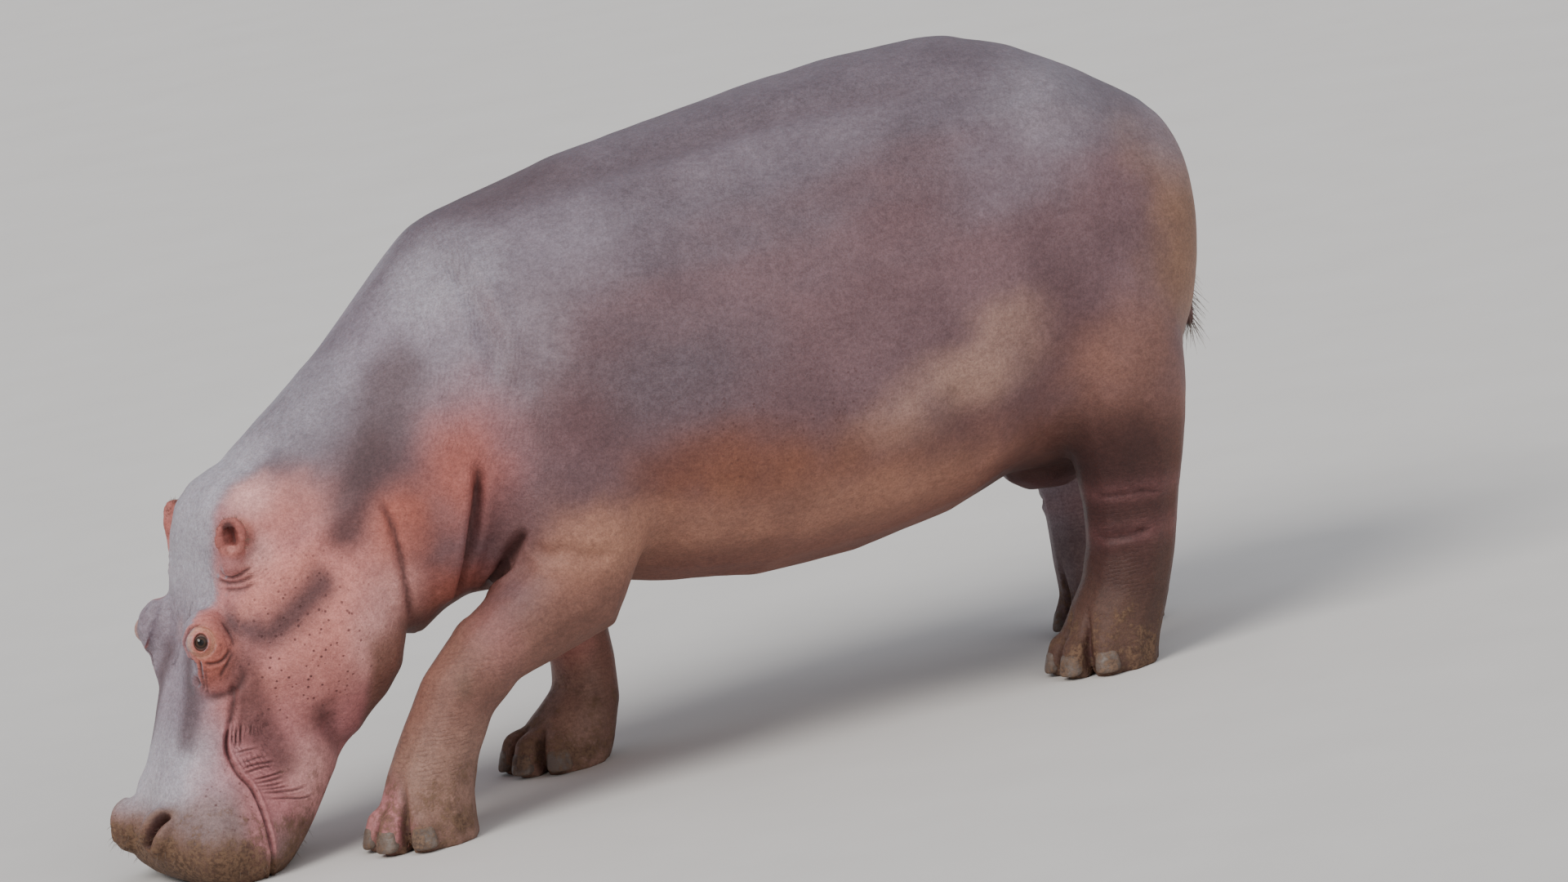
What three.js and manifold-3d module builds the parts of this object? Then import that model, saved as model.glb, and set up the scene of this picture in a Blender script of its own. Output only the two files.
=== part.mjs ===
// An adult female hippopotamus, life size, walking with its head lowered and its lips on the floor.
// Sizes are in millimetres. The parts are laid out with x forward, y to the animal's left and z up;
// the finished group is turned half round, so that the head points along -X and the left side faces
// -Y, and its origin is on the floor under the middle of the animal.
import * as THREE from "three";
import { mergeVertices } from "three/addons/utils/BufferGeometryUtils.js";
import Module from "manifold-3d";

const wasm = await Module();
wasm.setup();

// ---- driving sizes ----
const GAP = 0.4; // left between neighbouring pieces
const LIMB_GAP = 1.2; // round a limb set into the body, where its sections fan round the bends
const DEEP = 4000; // longer than the animal, for the blocks that cut it
const BODY_GRID = { along: 22, around: 24 }; // faces along and round each lofted form
const HEAD_GRID = { along: 19, around: 22 };
const LEG_GRID = { along: 11, around: 11 };
const TAIL_GRID = { along: 6, around: 8 };
const MOUTH_STEPS = 15; // straight lengths along the mouth line

const HEAD_POLL = { x: 1209, z: 800 }; // top of the head between the ears, where the face line starts
const FACE_SLOPE = 69.4; // degrees that the face line falls below the level
const EYE = { l: 291, y: 149, k: -16, radius: 26 }; // along the face line, aside and out of the face
const SOLE_HEIGHT = 128; // height at which the feet part from the legs
const NAIL = { thick: 14, wide: 28, high: 26, out: 38, rise: 33 };

// ---- finishes ----
const skinTop = new THREE.MeshStandardMaterial({ color: 0x7b6c70, roughness: 0.55, metalness: 0 });
const skinFace = new THREE.MeshStandardMaterial({ color: 0xa9796c, roughness: 0.55, metalness: 0 });
const skinFoot = new THREE.MeshStandardMaterial({ color: 0x8a7264, roughness: 0.75, metalness: 0 });
const horn = new THREE.MeshStandardMaterial({ color: 0x7d6f5e, roughness: 0.6, metalness: 0 });
const eyeball = new THREE.MeshStandardMaterial({ color: 0x1c1512, roughness: 0.08, metalness: 0 });

// ---- helpers ----
const power = (v, n) => Math.sign(v) * Math.abs(v) ** (2 / n);
const mixed = (a, b, t) => a + (b - a) * t;
const vector = (p) => new THREE.Vector3(...p);
const sides = [1, -1];
const sideName = (side) => (side > 0 ? "left" : "right");

// Numbers that run smoothly through the rows of a table, at t from 0 to 1.
function smoothRows(rows) {
  const places = rows.map((_, i) => i);
  const run = new THREE.CubicInterpolant(places, rows.flat(), rows[0].length);
  return (t) => Array.from(run.evaluate(t * (rows.length - 1)));
}

// A closed skin through rings of points: pointAt(t, angle) with t and angle running over the rings.
function loft(pointAt, { along, around }) {
  const points = [];
  const faces = [];
  for (let i = 0; i <= along; i += 1) {
    for (let j = 0; j < around; j += 1) {
      points.push(pointAt(i / along, (2 * Math.PI * j) / around));
    }
  }
  const middleOf = (first) => {
    const ring = points.slice(first, first + around);
    return ring.reduce((sum, p) => sum.add(p), new THREE.Vector3()).divideScalar(around);
  };
  const start = points.length;
  points.push(middleOf(0), middleOf(along * around));
  for (let j = 0; j < around; j += 1) {
    const next = (j + 1) % around;
    for (let i = 0; i < along; i += 1) {
      const [a, b] = [i * around + j, i * around + next];
      faces.push(a, b, a + around, b, b + around, a + around);
    }
    faces.push(start, next, j, start + 1, along * around + j, along * around + next);
  }
  const geometry = new THREE.BufferGeometry().setFromPoints(points);
  geometry.setIndex(faces);
  return geometry;
}

// A closed geometry as a solid, with its faces turned outwards.
function solidOf(geometry) {
  const bare = geometry.clone();
  bare.deleteAttribute("normal");
  bare.deleteAttribute("uv");
  const merged = mergeVertices(bare, 1e-4);
  const vertProperties = merged.attributes.position.array;
  const made = (triVerts) => new wasm.Manifold(new wasm.Mesh({ numProp: 3, vertProperties, triVerts }));
  const triVerts = new Uint32Array(merged.index.array);
  const solid = made(triVerts);
  return solid.volume() > 0 ? solid : made(triVerts.reverse());
}

function meshOf(name, solid, material) {
  const { vertProperties, triVerts, numProp } = solid.getMesh();
  const positions = new Float32Array((vertProperties.length / numProp) * 3);
  for (let i = 0; i < positions.length / 3; i += 1) {
    positions.set(vertProperties.subarray(i * numProp, i * numProp + 3), i * 3);
  }
  const geometry = new THREE.BufferGeometry();
  geometry.setAttribute("position", new THREE.BufferAttribute(positions, 3));
  geometry.setIndex(new THREE.BufferAttribute(triVerts, 1));
  geometry.computeVertexNormals();
  const mesh = new THREE.Mesh(geometry, material);
  mesh.name = name;
  return mesh;
}

// An ellipsoid with half axes r, turned by turn and moved to at.
function ellipsoid(at, r, turn = new THREE.Euler(), fine = [9, 6], grow = 0) {
  const shape = new THREE.SphereGeometry(1, ...fine);
  const size = vector(r.map((half) => half + grow));
  const pose = new THREE.Quaternion().setFromEuler(turn);
  shape.applyMatrix4(new THREE.Matrix4().compose(vector(at), pose, size));
  return solidOf(shape);
}

// A block that fills one side of a plane: all that lies along normal from at, moved on by gap.
function halfSpace(at, normal, gap = 0) {
  const block = new THREE.BoxGeometry(DEEP, DEEP, DEEP);
  const along = vector(normal).normalize();
  const turn = new THREE.Quaternion().setFromUnitVectors(new THREE.Vector3(0, 0, 1), along);
  const middle = vector(at).addScaledVector(along, DEEP / 2 + gap);
  block.applyMatrix4(new THREE.Matrix4().compose(middle, turn, new THREE.Vector3(1, 1, 1)));
  return solidOf(block);
}

// A swelling moves the skin out from the middle of its section, by a share of its distance from there.
function lifted(p, middle, swells) {
  const share = swells.reduce((sum, [x, y, z, reachX, reachY, reachZ, lift]) => {
    const d = [(p.x - x) / reachX, (Math.abs(p.y) - y) / reachY, (p.z - z) / reachZ];
    return sum + lift * Math.exp(-(d[0] ** 2 + d[1] ** 2 + d[2] ** 2));
  }, 1);
  return p.sub(middle).multiplyScalar(share).add(middle);
}

const joined = (solids) => solids.reduce((a, b) => a.add(b));
const floor = halfSpace([0, 0, 0], [0, 0, -1]);

// ---- trunk and neck ----
// Each station is a section from the back line to the belly line, from the rump forward to the nape:
// back x, back z, belly x, belly z, half width, height of the widest place (share), roundness above
// and below.
const STATIONS = [
  [-1158, 1026, -1148, 896, 60, 0.5, 2.0, 2.0],
  [-1160, 1120, -1130, 776, 200, 0.5, 2.3, 2.2],
  [-1134, 1188, -1075, 637, 300, 0.5, 2.3, 2.2],
  [-1053, 1251, -980, 500, 362, 0.52, 2.2, 2.2],
  [-894, 1349, -854, 432, 406, 0.52, 2.0, 2.2],
  [-715, 1416, -665, 447, 430, 0.5, 1.85, 2.2],
  [-415, 1420, -424, 386, 452, 0.47, 1.95, 2.4],
  [-74, 1381, -84, 360, 460, 0.46, 2.0, 2.4],
  [236, 1345, 196, 396, 434, 0.47, 2.0, 2.4],
  [416, 1304, 376, 440, 396, 0.48, 1.95, 2.2],
  [557, 1284, 475, 458, 354, 0.48, 1.9, 2.2],
  [666, 1200, 585, 462, 324, 0.48, 1.95, 2.2],
  [784, 1091, 685, 466, 300, 0.47, 2.0, 2.3],
  [914, 997, 770, 420, 274, 0.46, 2.0, 2.3],
  [1034, 916, 846, 440, 246, 0.46, 2.0, 2.2],
  [1136, 841, 925, 484, 205, 0.46, 2.0, 2.2],
  [1180, 788, 994, 556, 140, 0.46, 2.0, 2.0],
];

// Swellings on both sides: place, reach each way and lift.
const BODY_SWELLS = [
  [-800, 330, 1200, 130, 150, 110, 0.06], // point of the hip
  [470, 300, 960, 130, 160, 200, 0.03], // shoulder blade
  [790, 0, 420, 90, 170, 70, 0.05], // roll under the throat
];

function bodyGeometry() {
  const run = smoothRows(STATIONS);
  return loft((t, angle) => {
    const [backX, backZ, bellyX, bellyZ, half, share, above, below] = run(t);
    const belly = new THREE.Vector3(bellyX, 0, bellyZ);
    const up = new THREE.Vector3(backX, 0, backZ).sub(belly);
    const middle = belly.clone().addScaledVector(up, share);
    const upper = Math.sin(angle) > 0;
    const round = upper ? above : below;
    const p = middle.clone().addScaledVector(up, (upper ? 1 - share : share) * power(Math.sin(angle), round));
    p.y = half * power(Math.cos(angle), round);
    return lifted(p, middle, BODY_SWELLS);
  }, BODY_GRID);
}

const TAIL = [
  [-1060, 0, 1135, 26, 30],
  [-1128, 0, 1088, 42, 52],
  [-1164, 0, 1000, 34, 46],
  [-1180, 0, 900, 26, 38],
  [-1187, 0, 800, 20, 30],
  [-1192, 0, 720, 15, 25],
  [-1195, 0, 664, 9, 17],
];

const udder = ellipsoid([-795, 0, 438], [108, 105, 60]);
const rumpCleft = ellipsoid([-1208, 0, 930], [62, 48, 300]);

// ---- head ----
// The head has its own frame: l runs down the face line from the poll, y to the left and k up from
// the face. A section's row holds l, face k, jaw k, half width, height of the widest place, roundness
// above and below.
const HEAD_SECTIONS = [
  [-108, -96, -350, 100, 0.5, 2.0, 2.0],
  [-62, -36, -410, 160, 0.48, 2.3, 2.1],
  [0, 0, -446, 196, 0.46, 2.8, 2.3],
  [86, -2, -470, 214, 0.44, 3.2, 2.5],
  [171, -20, -490, 224, 0.42, 3.2, 2.7],
  [262, -27, -504, 224, 0.4, 3.2, 2.8],
  [352, -30, -480, 200, 0.42, 3.0, 2.8],
  [437, -26, -430, 175, 0.46, 2.8, 2.8],
  [515, -24, -404, 165, 0.5, 2.7, 2.8],
  [584, -22, -388, 176, 0.52, 2.6, 2.7],
  [650, -20, -366, 198, 0.56, 2.6, 2.6],
  [712, -18, -340, 214, 0.6, 2.5, 2.5],
  [762, -34, -310, 206, 0.6, 2.4, 2.3],
  [794, -72, -276, 172, 0.55, 2.2, 2.2],
  [804, -118, -224, 96, 0.5, 2.0, 2.0],
];
// Swellings on both sides of the head: place, reach each way and lift.
const HEAD_SWELLS = [
  [214, 200, -330, 150, 110, 150, 0.07], // cheek
  [716, 190, -150, 80, 110, 110, 0.06], // lip pad
];
// Forms on both sides of the head: l, y, k and half sizes.
const HEAD_LUMPS = [
  [277, 128, -38, 62, 50, 58], // brow round the eye
  [706, 82, -36, 58, 46, 42], // nostril
];
const NOSTRIL = [714, 84, 4, 24, 8, 22]; // a pit, given in the same way

const slope = THREE.MathUtils.degToRad(FACE_SLOPE);
const alongFace = new THREE.Vector3(Math.cos(slope), 0, -Math.sin(slope));
const outOfFace = new THREE.Vector3(Math.sin(slope), 0, Math.cos(slope));
const headFrame = new THREE.Matrix4()
  .makeBasis(alongFace, new THREE.Vector3(0, 1, 0), outOfFace)
  .setPosition(HEAD_POLL.x, 0, HEAD_POLL.z);
const headTurn = new THREE.Euler().setFromRotationMatrix(headFrame);
const headPoint = (l, y, k) => new THREE.Vector3(l, y, k).applyMatrix4(headFrame);

function headGeometry() {
  const run = smoothRows(HEAD_SECTIONS);
  const shape = loft((t, angle) => {
    const [l, face, jaw, half, share, above, below] = run(t);
    const middle = new THREE.Vector3(l, 0, mixed(jaw, face, share));
    const upper = Math.sin(angle) > 0;
    const round = upper ? above : below;
    const reach = upper ? face - middle.z : middle.z - jaw;
    const aside = half * power(Math.cos(angle), round);
    const p = new THREE.Vector3(l, aside, middle.z + reach * power(Math.sin(angle), round));
    return lifted(p, middle, HEAD_SWELLS);
  }, HEAD_GRID);
  return shape.applyMatrix4(headFrame);
}

// An ellipsoid given in the head's frame, on one side of it.
const headEllipsoid = ([l, y, k, ...r], side, fine, grow) =>
  ellipsoid(headPoint(l, side * y, k).toArray(), r, headTurn, fine, grow);

function headForms() {
  const lumps = sides.flatMap((side) => HEAD_LUMPS.map((lump) => headEllipsoid(lump, side, [10, 7])));
  return joined([solidOf(headGeometry()), ...lumps]);
}

// The mouth line, as l and k, from where the jaw parts from the head to the lips.
const MOUTH = [
  [-200, -232], [250, -172], [414, -101], [473, -94], [516, -105],
  [562, -136], [607, -178], [655, -209], [762, -246], [860, -262],
];

// The block that fills all below the mouth line, lowered by drop.
function jawBlock(drop = 0) {
  const line = new THREE.SplineCurve(MOUTH.map(([l, k]) => new THREE.Vector2(l, k - drop)));
  const below = [MOUTH.at(-1), MOUTH[0]].map(([l]) => new THREE.Vector2(l, -DEEP));
  const outline = new THREE.Shape([...line.getPoints(MOUTH_STEPS), ...below]);
  const block = new THREE.ExtrudeGeometry(outline, { depth: DEEP, bevelEnabled: false });
  block.translate(0, 0, -DEEP / 2).rotateX(Math.PI / 2); // the shape's y becomes k
  return solidOf(block.applyMatrix4(headFrame));
}

// ---- ears ----
// An ear is a cup on a short stalk. It runs from its root back along the face line and opens aside
// and a little forward; the right ear is turned further back than the left.
const EARS = {
  left: { root: [114, 182, -36], tip: [12, 204, -16], opens: [0.08, 0.84, 0.52] },
  right: { root: [106, 172, -54], tip: [4, 184, -38], opens: [0.08, 0.9, 0.4] },
};

function earOf(side, grow = 0) {
  const ear = EARS[sideName(side)];
  const inHead = ([l, y, k]) => headPoint(l, side * y, k);
  const root = inHead(ear.root);
  const along = inHead(ear.tip).sub(root).normalize();
  const opens = vector([ear.opens[0], side * ear.opens[1], ear.opens[2]]).transformDirection(headFrame);
  const across = opens.clone().cross(along).normalize();
  opens.crossVectors(along, across).normalize();
  const turn = new THREE.Euler().setFromRotationMatrix(new THREE.Matrix4().makeBasis(along, across, opens));
  const at = (a, b) => root.clone().addScaledVector(along, a).addScaledVector(opens, b).toArray();
  const stalk = ellipsoid(at(-2, -6), [34, 23, 20], turn, [6, 4], grow);
  const leaf = ellipsoid(at(54, 0), [50, 35, 18], turn, [10, 6], grow);
  const hollow = ellipsoid(at(56, 15), [40, 26, 18], turn, [8, 5]);
  return joined([leaf.subtract(hollow), stalk]);
}

// ---- legs ----
// A leg's row holds the middle of a section, x, y and z, and its half sizes fore and aft and aside.
const LEGS = {
  foreleg_left: [
    [434, 215, 1062, 60, 50], [440, 245, 972, 150, 95], [447, 268, 803, 190, 128],
    [448, 280, 633, 174, 128], [478, 278, 486, 134, 118], [562, 272, 434, 108, 108],
    [648, 266, 404, 92, 100], [737, 258, 346, 82, 96], [802, 252, 266, 82, 92],
    [848, 248, 186, 88, 92], [880, 243, 110, 98, 98], [896, 240, 42, 108, 110], [896, 238, -40, 110, 110],
  ],
  foreleg_right: [
    [409, -215, 1062, 60, 50], [420, -245, 972, 150, 95], [422, -268, 802, 190, 128],
    [404, -275, 632, 174, 125], [354, -262, 482, 126, 110], [306, -245, 360, 88, 92],
    [286, -232, 256, 73, 80], [285, -224, 168, 72, 78], [318, -215, 92, 88, 88],
    [376, -208, 38, 108, 104], [380, -206, -40, 110, 104],
  ],
  hindleg_left: [
    [-831, 200, 1089, 70, 60], [-828, 235, 989, 172, 120], [-834, 262, 819, 208, 150],
    [-860, 270, 659, 176, 145], [-875, 262, 519, 138, 126], [-870, 248, 399, 114, 108],
    [-862, 238, 289, 102, 98], [-838, 228, 189, 96, 96], [-800, 220, 109, 103, 102],
    [-768, 214, 42, 114, 112], [-764, 212, -40, 114, 112],
  ],
  hindleg_right: [
    [-841, -200, 1089, 70, 60], [-838, -235, 989, 172, 120], [-862, -262, 819, 208, 150],
    [-918, -268, 658, 172, 143], [-966, -258, 518, 134, 124], [-990, -244, 397, 110, 108],
    [-986, -232, 287, 98, 98], [-978, -222, 188, 92, 95], [-984, -214, 108, 97, 100],
    [-1002, -208, 42, 108, 108], [-1002, -206, -40, 110, 108],
  ],
};

// A limb lofted through its rows, with each section across the limb's own run, which is measured over
// a short step. It grows on all sides for the pocket that it sits in.
function limbGeometry(rows, grid, grow = 0) {
  const run = smoothRows(rows);
  const step = 0.08;
  return loft((t, angle) => {
    const [x, y, z, fore, aside] = run(t);
    const [x0, , z0] = run(Math.max(0, t - step));
    const [x1, , z1] = run(Math.min(1, t + step));
    const heading = new THREE.Vector2(x1 - x0, z1 - z0).normalize();
    const a = (fore + grow) * Math.cos(angle);
    const end = grow * (Math.floor(t) - (t === 0)); // the first and last rings move out along the run
    return new THREE.Vector3(
      x - a * heading.y + end * heading.x,
      y + (aside + grow) * Math.sin(angle),
      z + a * heading.x + end * heading.y,
    );
  }, grid);
}

// Four toes stand round the front of a foot, at these angles from straight ahead.
const TOE_ANGLES = [66, 22, -22, -66];
const TOE = { out: 80, inset: 14, forward: 8, height: 40, r: [50, 38, 56] };

function toesOf(rows, side) {
  const [x, y] = rows[rows.length - 2];
  return TOE_ANGLES.map((degrees) => {
    const a = THREE.MathUtils.degToRad(degrees * side);
    const out = TOE.out - TOE.inset * Math.abs(Math.sin(a));
    const at = (reach, z) => [x + TOE.forward + reach * Math.cos(a), y + reach * Math.sin(a), z];
    const pad = ellipsoid(at(out, TOE.height), TOE.r, new THREE.Euler(0, 0, a), [8, 5]);
    const tilt = new THREE.Euler(0, -0.3, a, "ZYX");
    const nail = (grow) =>
      ellipsoid(at(out + NAIL.out, NAIL.rise), [NAIL.thick, NAIL.wide, NAIL.high], tilt, [6, 4], grow);
    return { pad, nail };
  });
}

// ---- putting it together ----
const hippo = new THREE.Group();
const add = (name, solid, material) => hippo.add(meshOf(name, solid, material));

let body = solidOf(bodyGeometry()).add(udder).subtract(rumpCleft);
for (const [name, rows] of Object.entries(LEGS)) {
  const side = Math.sign(rows[0][1]);
  const toes = toesOf(rows, side);
  const limb = joined([solidOf(limbGeometry(rows, LEG_GRID)), ...toes.map((toe) => toe.pad)]).subtract(floor);
  const bare = toes.reduce((rest, toe) => rest.subtract(toe.nail(GAP)), limb);
  const cut = [0, 0, SOLE_HEIGHT];
  add(name, bare.intersect(halfSpace(cut, [0, 0, 1], GAP)), skinTop);
  add(name.replace("leg", "foot"), bare.subtract(halfSpace(cut, [0, 0, 1])), skinFoot);
  toes.forEach((toe, i) => add(`${name.replace("leg", "nail")}_${i + 1}`, toe.nail(0), horn));
  body = body.subtract(solidOf(limbGeometry(rows, LEG_GRID, LIMB_GAP)));
}
add("tail", solidOf(limbGeometry(TAIL, TAIL_GRID)), skinTop);
body = body.subtract(solidOf(limbGeometry(TAIL, TAIL_GRID, LIMB_GAP)));

const napeCut = [[1052, 0, 712], [430, 0, -352]];
const witherCut = [[632, 0, 812], [1, 0, -0.21]]; // each cut is a point on a plane and its normal
const flesh = body.add(headForms()).subtract(floor);
const behindNape = flesh.subtract(halfSpace(...napeCut));
add("trunk", behindNape.subtract(halfSpace(...witherCut)), skinTop);
add("neck", behindNape.intersect(halfSpace(...witherCut, GAP)), skinTop);

let head = flesh.intersect(halfSpace(...napeCut, GAP));
for (const side of sides) {
  const ball = [EYE.l, EYE.y, EYE.k, EYE.radius, EYE.radius, EYE.radius];
  add(`eye_${sideName(side)}`, headEllipsoid(ball, side, [10, 6]), eyeball);
  add(`ear_${sideName(side)}`, earOf(side), skinFace);
  head = head.subtract(headEllipsoid(ball, side, [10, 6], GAP));
  head = head.subtract(earOf(side, GAP)).subtract(headEllipsoid(NOSTRIL, side, [6, 4]));
}
add("head", head.subtract(jawBlock()), skinFace);
add("jaw", head.intersect(jawBlock(GAP)), skinFace);

// The head points along -X, and the origin lies under the middle of the animal.
hippo.rotation.z = Math.PI;
hippo.updateMatrixWorld(true);
const bounds = new THREE.Box3().setFromObject(hippo);
hippo.position.set(-(bounds.min.x + bounds.max.x) / 2, -(bounds.min.y + bounds.max.y) / 2, -bounds.min.z);

export default hippo;
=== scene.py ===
"""The looks of a life-size walking hippopotamus, made over its solids.

One skin covers all the flesh. It starts from the solids, is smoothed, and is then shaped with folds, lids,
nostrils, mouth line and toes. Eyes and nails are pieces of their own, and the tail, ears and muzzle carry a
few stiff bristles. Shaping is done in the animal's own directions, in metres: x forward, y to its left and
z up. The tables of folds, swells, washes and bands are in millimetres.
"""

import math

import bmesh
import bpy
import numpy as np
from mathutils import Matrix, Vector
from mathutils.bvhtree import BVHTree


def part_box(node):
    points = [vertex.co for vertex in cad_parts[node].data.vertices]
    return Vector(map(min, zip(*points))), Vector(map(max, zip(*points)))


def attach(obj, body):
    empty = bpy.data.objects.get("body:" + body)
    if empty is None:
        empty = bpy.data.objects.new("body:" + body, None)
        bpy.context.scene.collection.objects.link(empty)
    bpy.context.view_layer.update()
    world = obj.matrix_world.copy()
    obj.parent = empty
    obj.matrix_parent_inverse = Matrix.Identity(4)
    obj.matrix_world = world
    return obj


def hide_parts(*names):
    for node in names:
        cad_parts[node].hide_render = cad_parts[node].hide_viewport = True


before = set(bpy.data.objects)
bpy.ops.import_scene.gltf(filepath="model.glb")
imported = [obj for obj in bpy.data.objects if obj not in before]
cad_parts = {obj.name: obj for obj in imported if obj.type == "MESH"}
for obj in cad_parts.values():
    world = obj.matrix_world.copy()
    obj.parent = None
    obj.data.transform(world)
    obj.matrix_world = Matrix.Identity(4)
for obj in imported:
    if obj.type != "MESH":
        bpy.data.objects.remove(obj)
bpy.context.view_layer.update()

# ---- places ----
MM = 0.001
SIDES = (1, -1)  # left and right
ORIGIN_X = 0.12966  # the solids' origin lies this far forward of the animal's own x = 0
TURNED = (-1, -1, 1)  # the solids' x and y run the other way
FACE_SLOPE = math.radians(69.4)  # how far the face line falls below the level
EYE_ON_FACE = (0.291, -0.016)  # down the face line from the poll, and out of the face
EYE_RADIUS = 0.026


def to_animal(points):
    """Points of the solids' frame in the animal's own directions."""
    return np.asarray(points, float) * TURNED + (ORIGIN_X, 0, 0)


def to_frame(points):
    """Points of the animal's own directions in the solids' frame."""
    return (np.asarray(points, float) - (ORIGIN_X, 0, 0)) * TURNED


DOWN_FACE = np.array([math.cos(FACE_SLOPE), 0, -math.sin(FACE_SLOPE)])
OUT_OF_FACE = np.array([math.sin(FACE_SLOPE), 0, math.cos(FACE_SLOPE)])
eye_middle = to_animal(sum(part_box("eye_left"), Vector()) / 2)
BODY_AXES = np.eye(3)
HEAD_AXES = np.array([DOWN_FACE, (0, 1, 0), OUT_OF_FACE])
POLL = eye_middle * (1, 0, 1) - EYE_ON_FACE[0] * DOWN_FACE - EYE_ON_FACE[1] * OUT_OF_FACE


def head_point(l, y, k):
    """A place on the head, in millimetres down the face line, to the left and out of the face."""
    return POLL + (l * DOWN_FACE + k * OUT_OF_FACE) * MM + np.array([0, y * MM, 0])


def head_places(points):
    """Places on the head of some points, in millimetres: down the face line, to the left, out of the face."""
    away = points - POLL
    return away @ DOWN_FACE / MM, away[:, 1] / MM, away @ OUT_OF_FACE / MM


def ahead_of_neck(points):
    """A number that grows from the neck to the face: millimetres out of the face, and partly down it."""
    l, _, k = head_places(points)
    return l * 0.4 + k


def folded_over(points):
    """The points with the animal's right side laid over on its left."""
    return np.abs(points) * (0, 1, 0) + points * (1, 0, 1)


# Places on the head, in millimetres down the face line, aside and out of the face.
EYE = (291, 149, -16)
EYE_MOUND = (300, 150, -40)
EAR = (50, 192, -28)
EAR_FOOT = (60, 192, -28)
BEFORE_EAR = (140, 130, -30)
NOSTRIL_MOUND = (710, 84, 0)
MOUTH_CORNER = [(480, 162, -130), (555, 168, -200), (590, 172, -270)]


# ---- small mathematics ----
def ramp(value, low, high):
    """From 0 at low to 1 at high, without corners."""
    t = np.clip((value - low) / (high - low), 0, 1)
    return t * t * (3 - 2 * t)


def bell(distance, width):
    """1 at no distance, falling smoothly through 1/e at the width."""
    return np.exp(-((distance / width) ** 2))


PRIMES = (73856093, 19349663, 83492791, 2654435761)  # they scatter neighbouring cells and seeds
SCATTER = 1274126177


def noise(points, size, seed):
    """Smooth noise from -1 to 1 that changes over that size."""
    place = points / size
    cell = np.floor(place).astype(np.int64)
    t = place - cell
    t = t * t * (3 - 2 * t)
    total = np.zeros(len(points))
    for corner in np.ndindex(2, 2, 2):
        at = cell + corner
        mixed = (at[:, 0] * PRIMES[0]) ^ (at[:, 1] * PRIMES[1]) ^ (at[:, 2] * PRIMES[2]) ^ (seed * PRIMES[3])
        mixed = (mixed ^ (mixed >> 13)) * SCATTER & 0xFFFFFFFF
        share = np.prod(np.where(corner, t, 1 - t), axis=1)
        total += share * ((mixed ^ (mixed >> 16)) & 0xFFFF) / 32767.5  # from 0 to 2
    return total - 1


def along_path(points, path):
    """Distance of each point from a path, and how far along the path it is, from 0 to 1."""
    path = np.asarray(path, float)
    steps = np.linalg.norm(np.diff(path, axis=0), axis=1)
    starts = np.concatenate([[0], np.cumsum(steps)[:-1]])
    nearest = np.full(len(points), np.inf)
    place = np.zeros(len(points))
    for a, b, start, step in zip(path[:-1], path[1:], starts, steps):
        t = np.clip((points - a) @ (b - a) / max(step, MM) ** 2, 0, 1)
        distance = np.linalg.norm(points - a - t[:, None] * (b - a), axis=1)
        closer = distance < nearest
        nearest[closer] = distance[closer]
        place[closer] = (start + t[closer] * step) / steps.sum()
    return nearest, place


def rounded(path, steps=6):
    """A smooth curve through the points of a path."""
    path = np.asarray(path, float)
    ends = np.concatenate([[2 * path[0] - path[1]], path, [2 * path[-1] - path[-2]]])
    curve = []
    for a, b, c, d in zip(ends[:-3], ends[1:-2], ends[2:-1], ends[3:]):
        bend = 2 * a - 5 * b + 4 * c - d
        twist = 3 * b - a - 3 * c + d
        for t in np.arange(steps) / steps:
            curve.append(0.5 * (2 * b + (c - a) * t + bend * t**2 + twist * t**3))
    return np.array(curve + [path[-1]])


# ---- the skin's first shape ----
LAP = 0.0012  # the solids grow by this much, so that the cuts between them close
VOXEL = 0.009
WIDE_VOXEL = 0.022  # for the wide forms of trunk, neck and upper legs, whose facets are the largest
NOT_FLESH = ("eye_", "forenail_", "hindnail_")
flesh_nodes = sorted(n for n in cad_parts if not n.startswith(NOT_FLESH))


def new_object(name, data):
    piece = bpy.data.objects.new(name, data)
    bpy.context.scene.collection.objects.link(piece)
    return piece


def plain_mesh(piece):
    """The piece's mesh with its modifiers worked in."""
    shown = piece.evaluated_get(bpy.context.evaluated_depsgraph_get())
    mesh = bpy.data.meshes.new_from_object(shown)
    piece.modifiers.clear()
    return mesh


def joined_solids():
    """All solids in one mesh, each grown by the lap."""
    whole = bmesh.new()
    for name, node in sorted(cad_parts.items()):
        part = bmesh.new()
        part.from_mesh(node.data)
        bmesh.ops.remove_doubles(part, verts=part.verts, dist=1e-5)
        part.normal_update()
        for vertex in part.verts:
            vertex.co += vertex.normal * LAP
        mesh = bpy.data.meshes.new(name)
        part.to_mesh(mesh)
        part.free()
        whole.from_mesh(mesh)
        bpy.data.meshes.remove(mesh)
    mesh = bpy.data.meshes.new("skin")
    whole.to_mesh(mesh)
    whole.free()
    return mesh


def remeshed(mesh, size):
    piece = new_object("remesh", mesh)
    change = piece.modifiers.new("remesh", "REMESH")
    change.mode = "VOXEL"
    change.voxel_size = size
    made = plain_mesh(piece)
    bpy.data.objects.remove(piece)
    return made


RELAX_PULLS = (0.6, -0.62)


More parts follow.
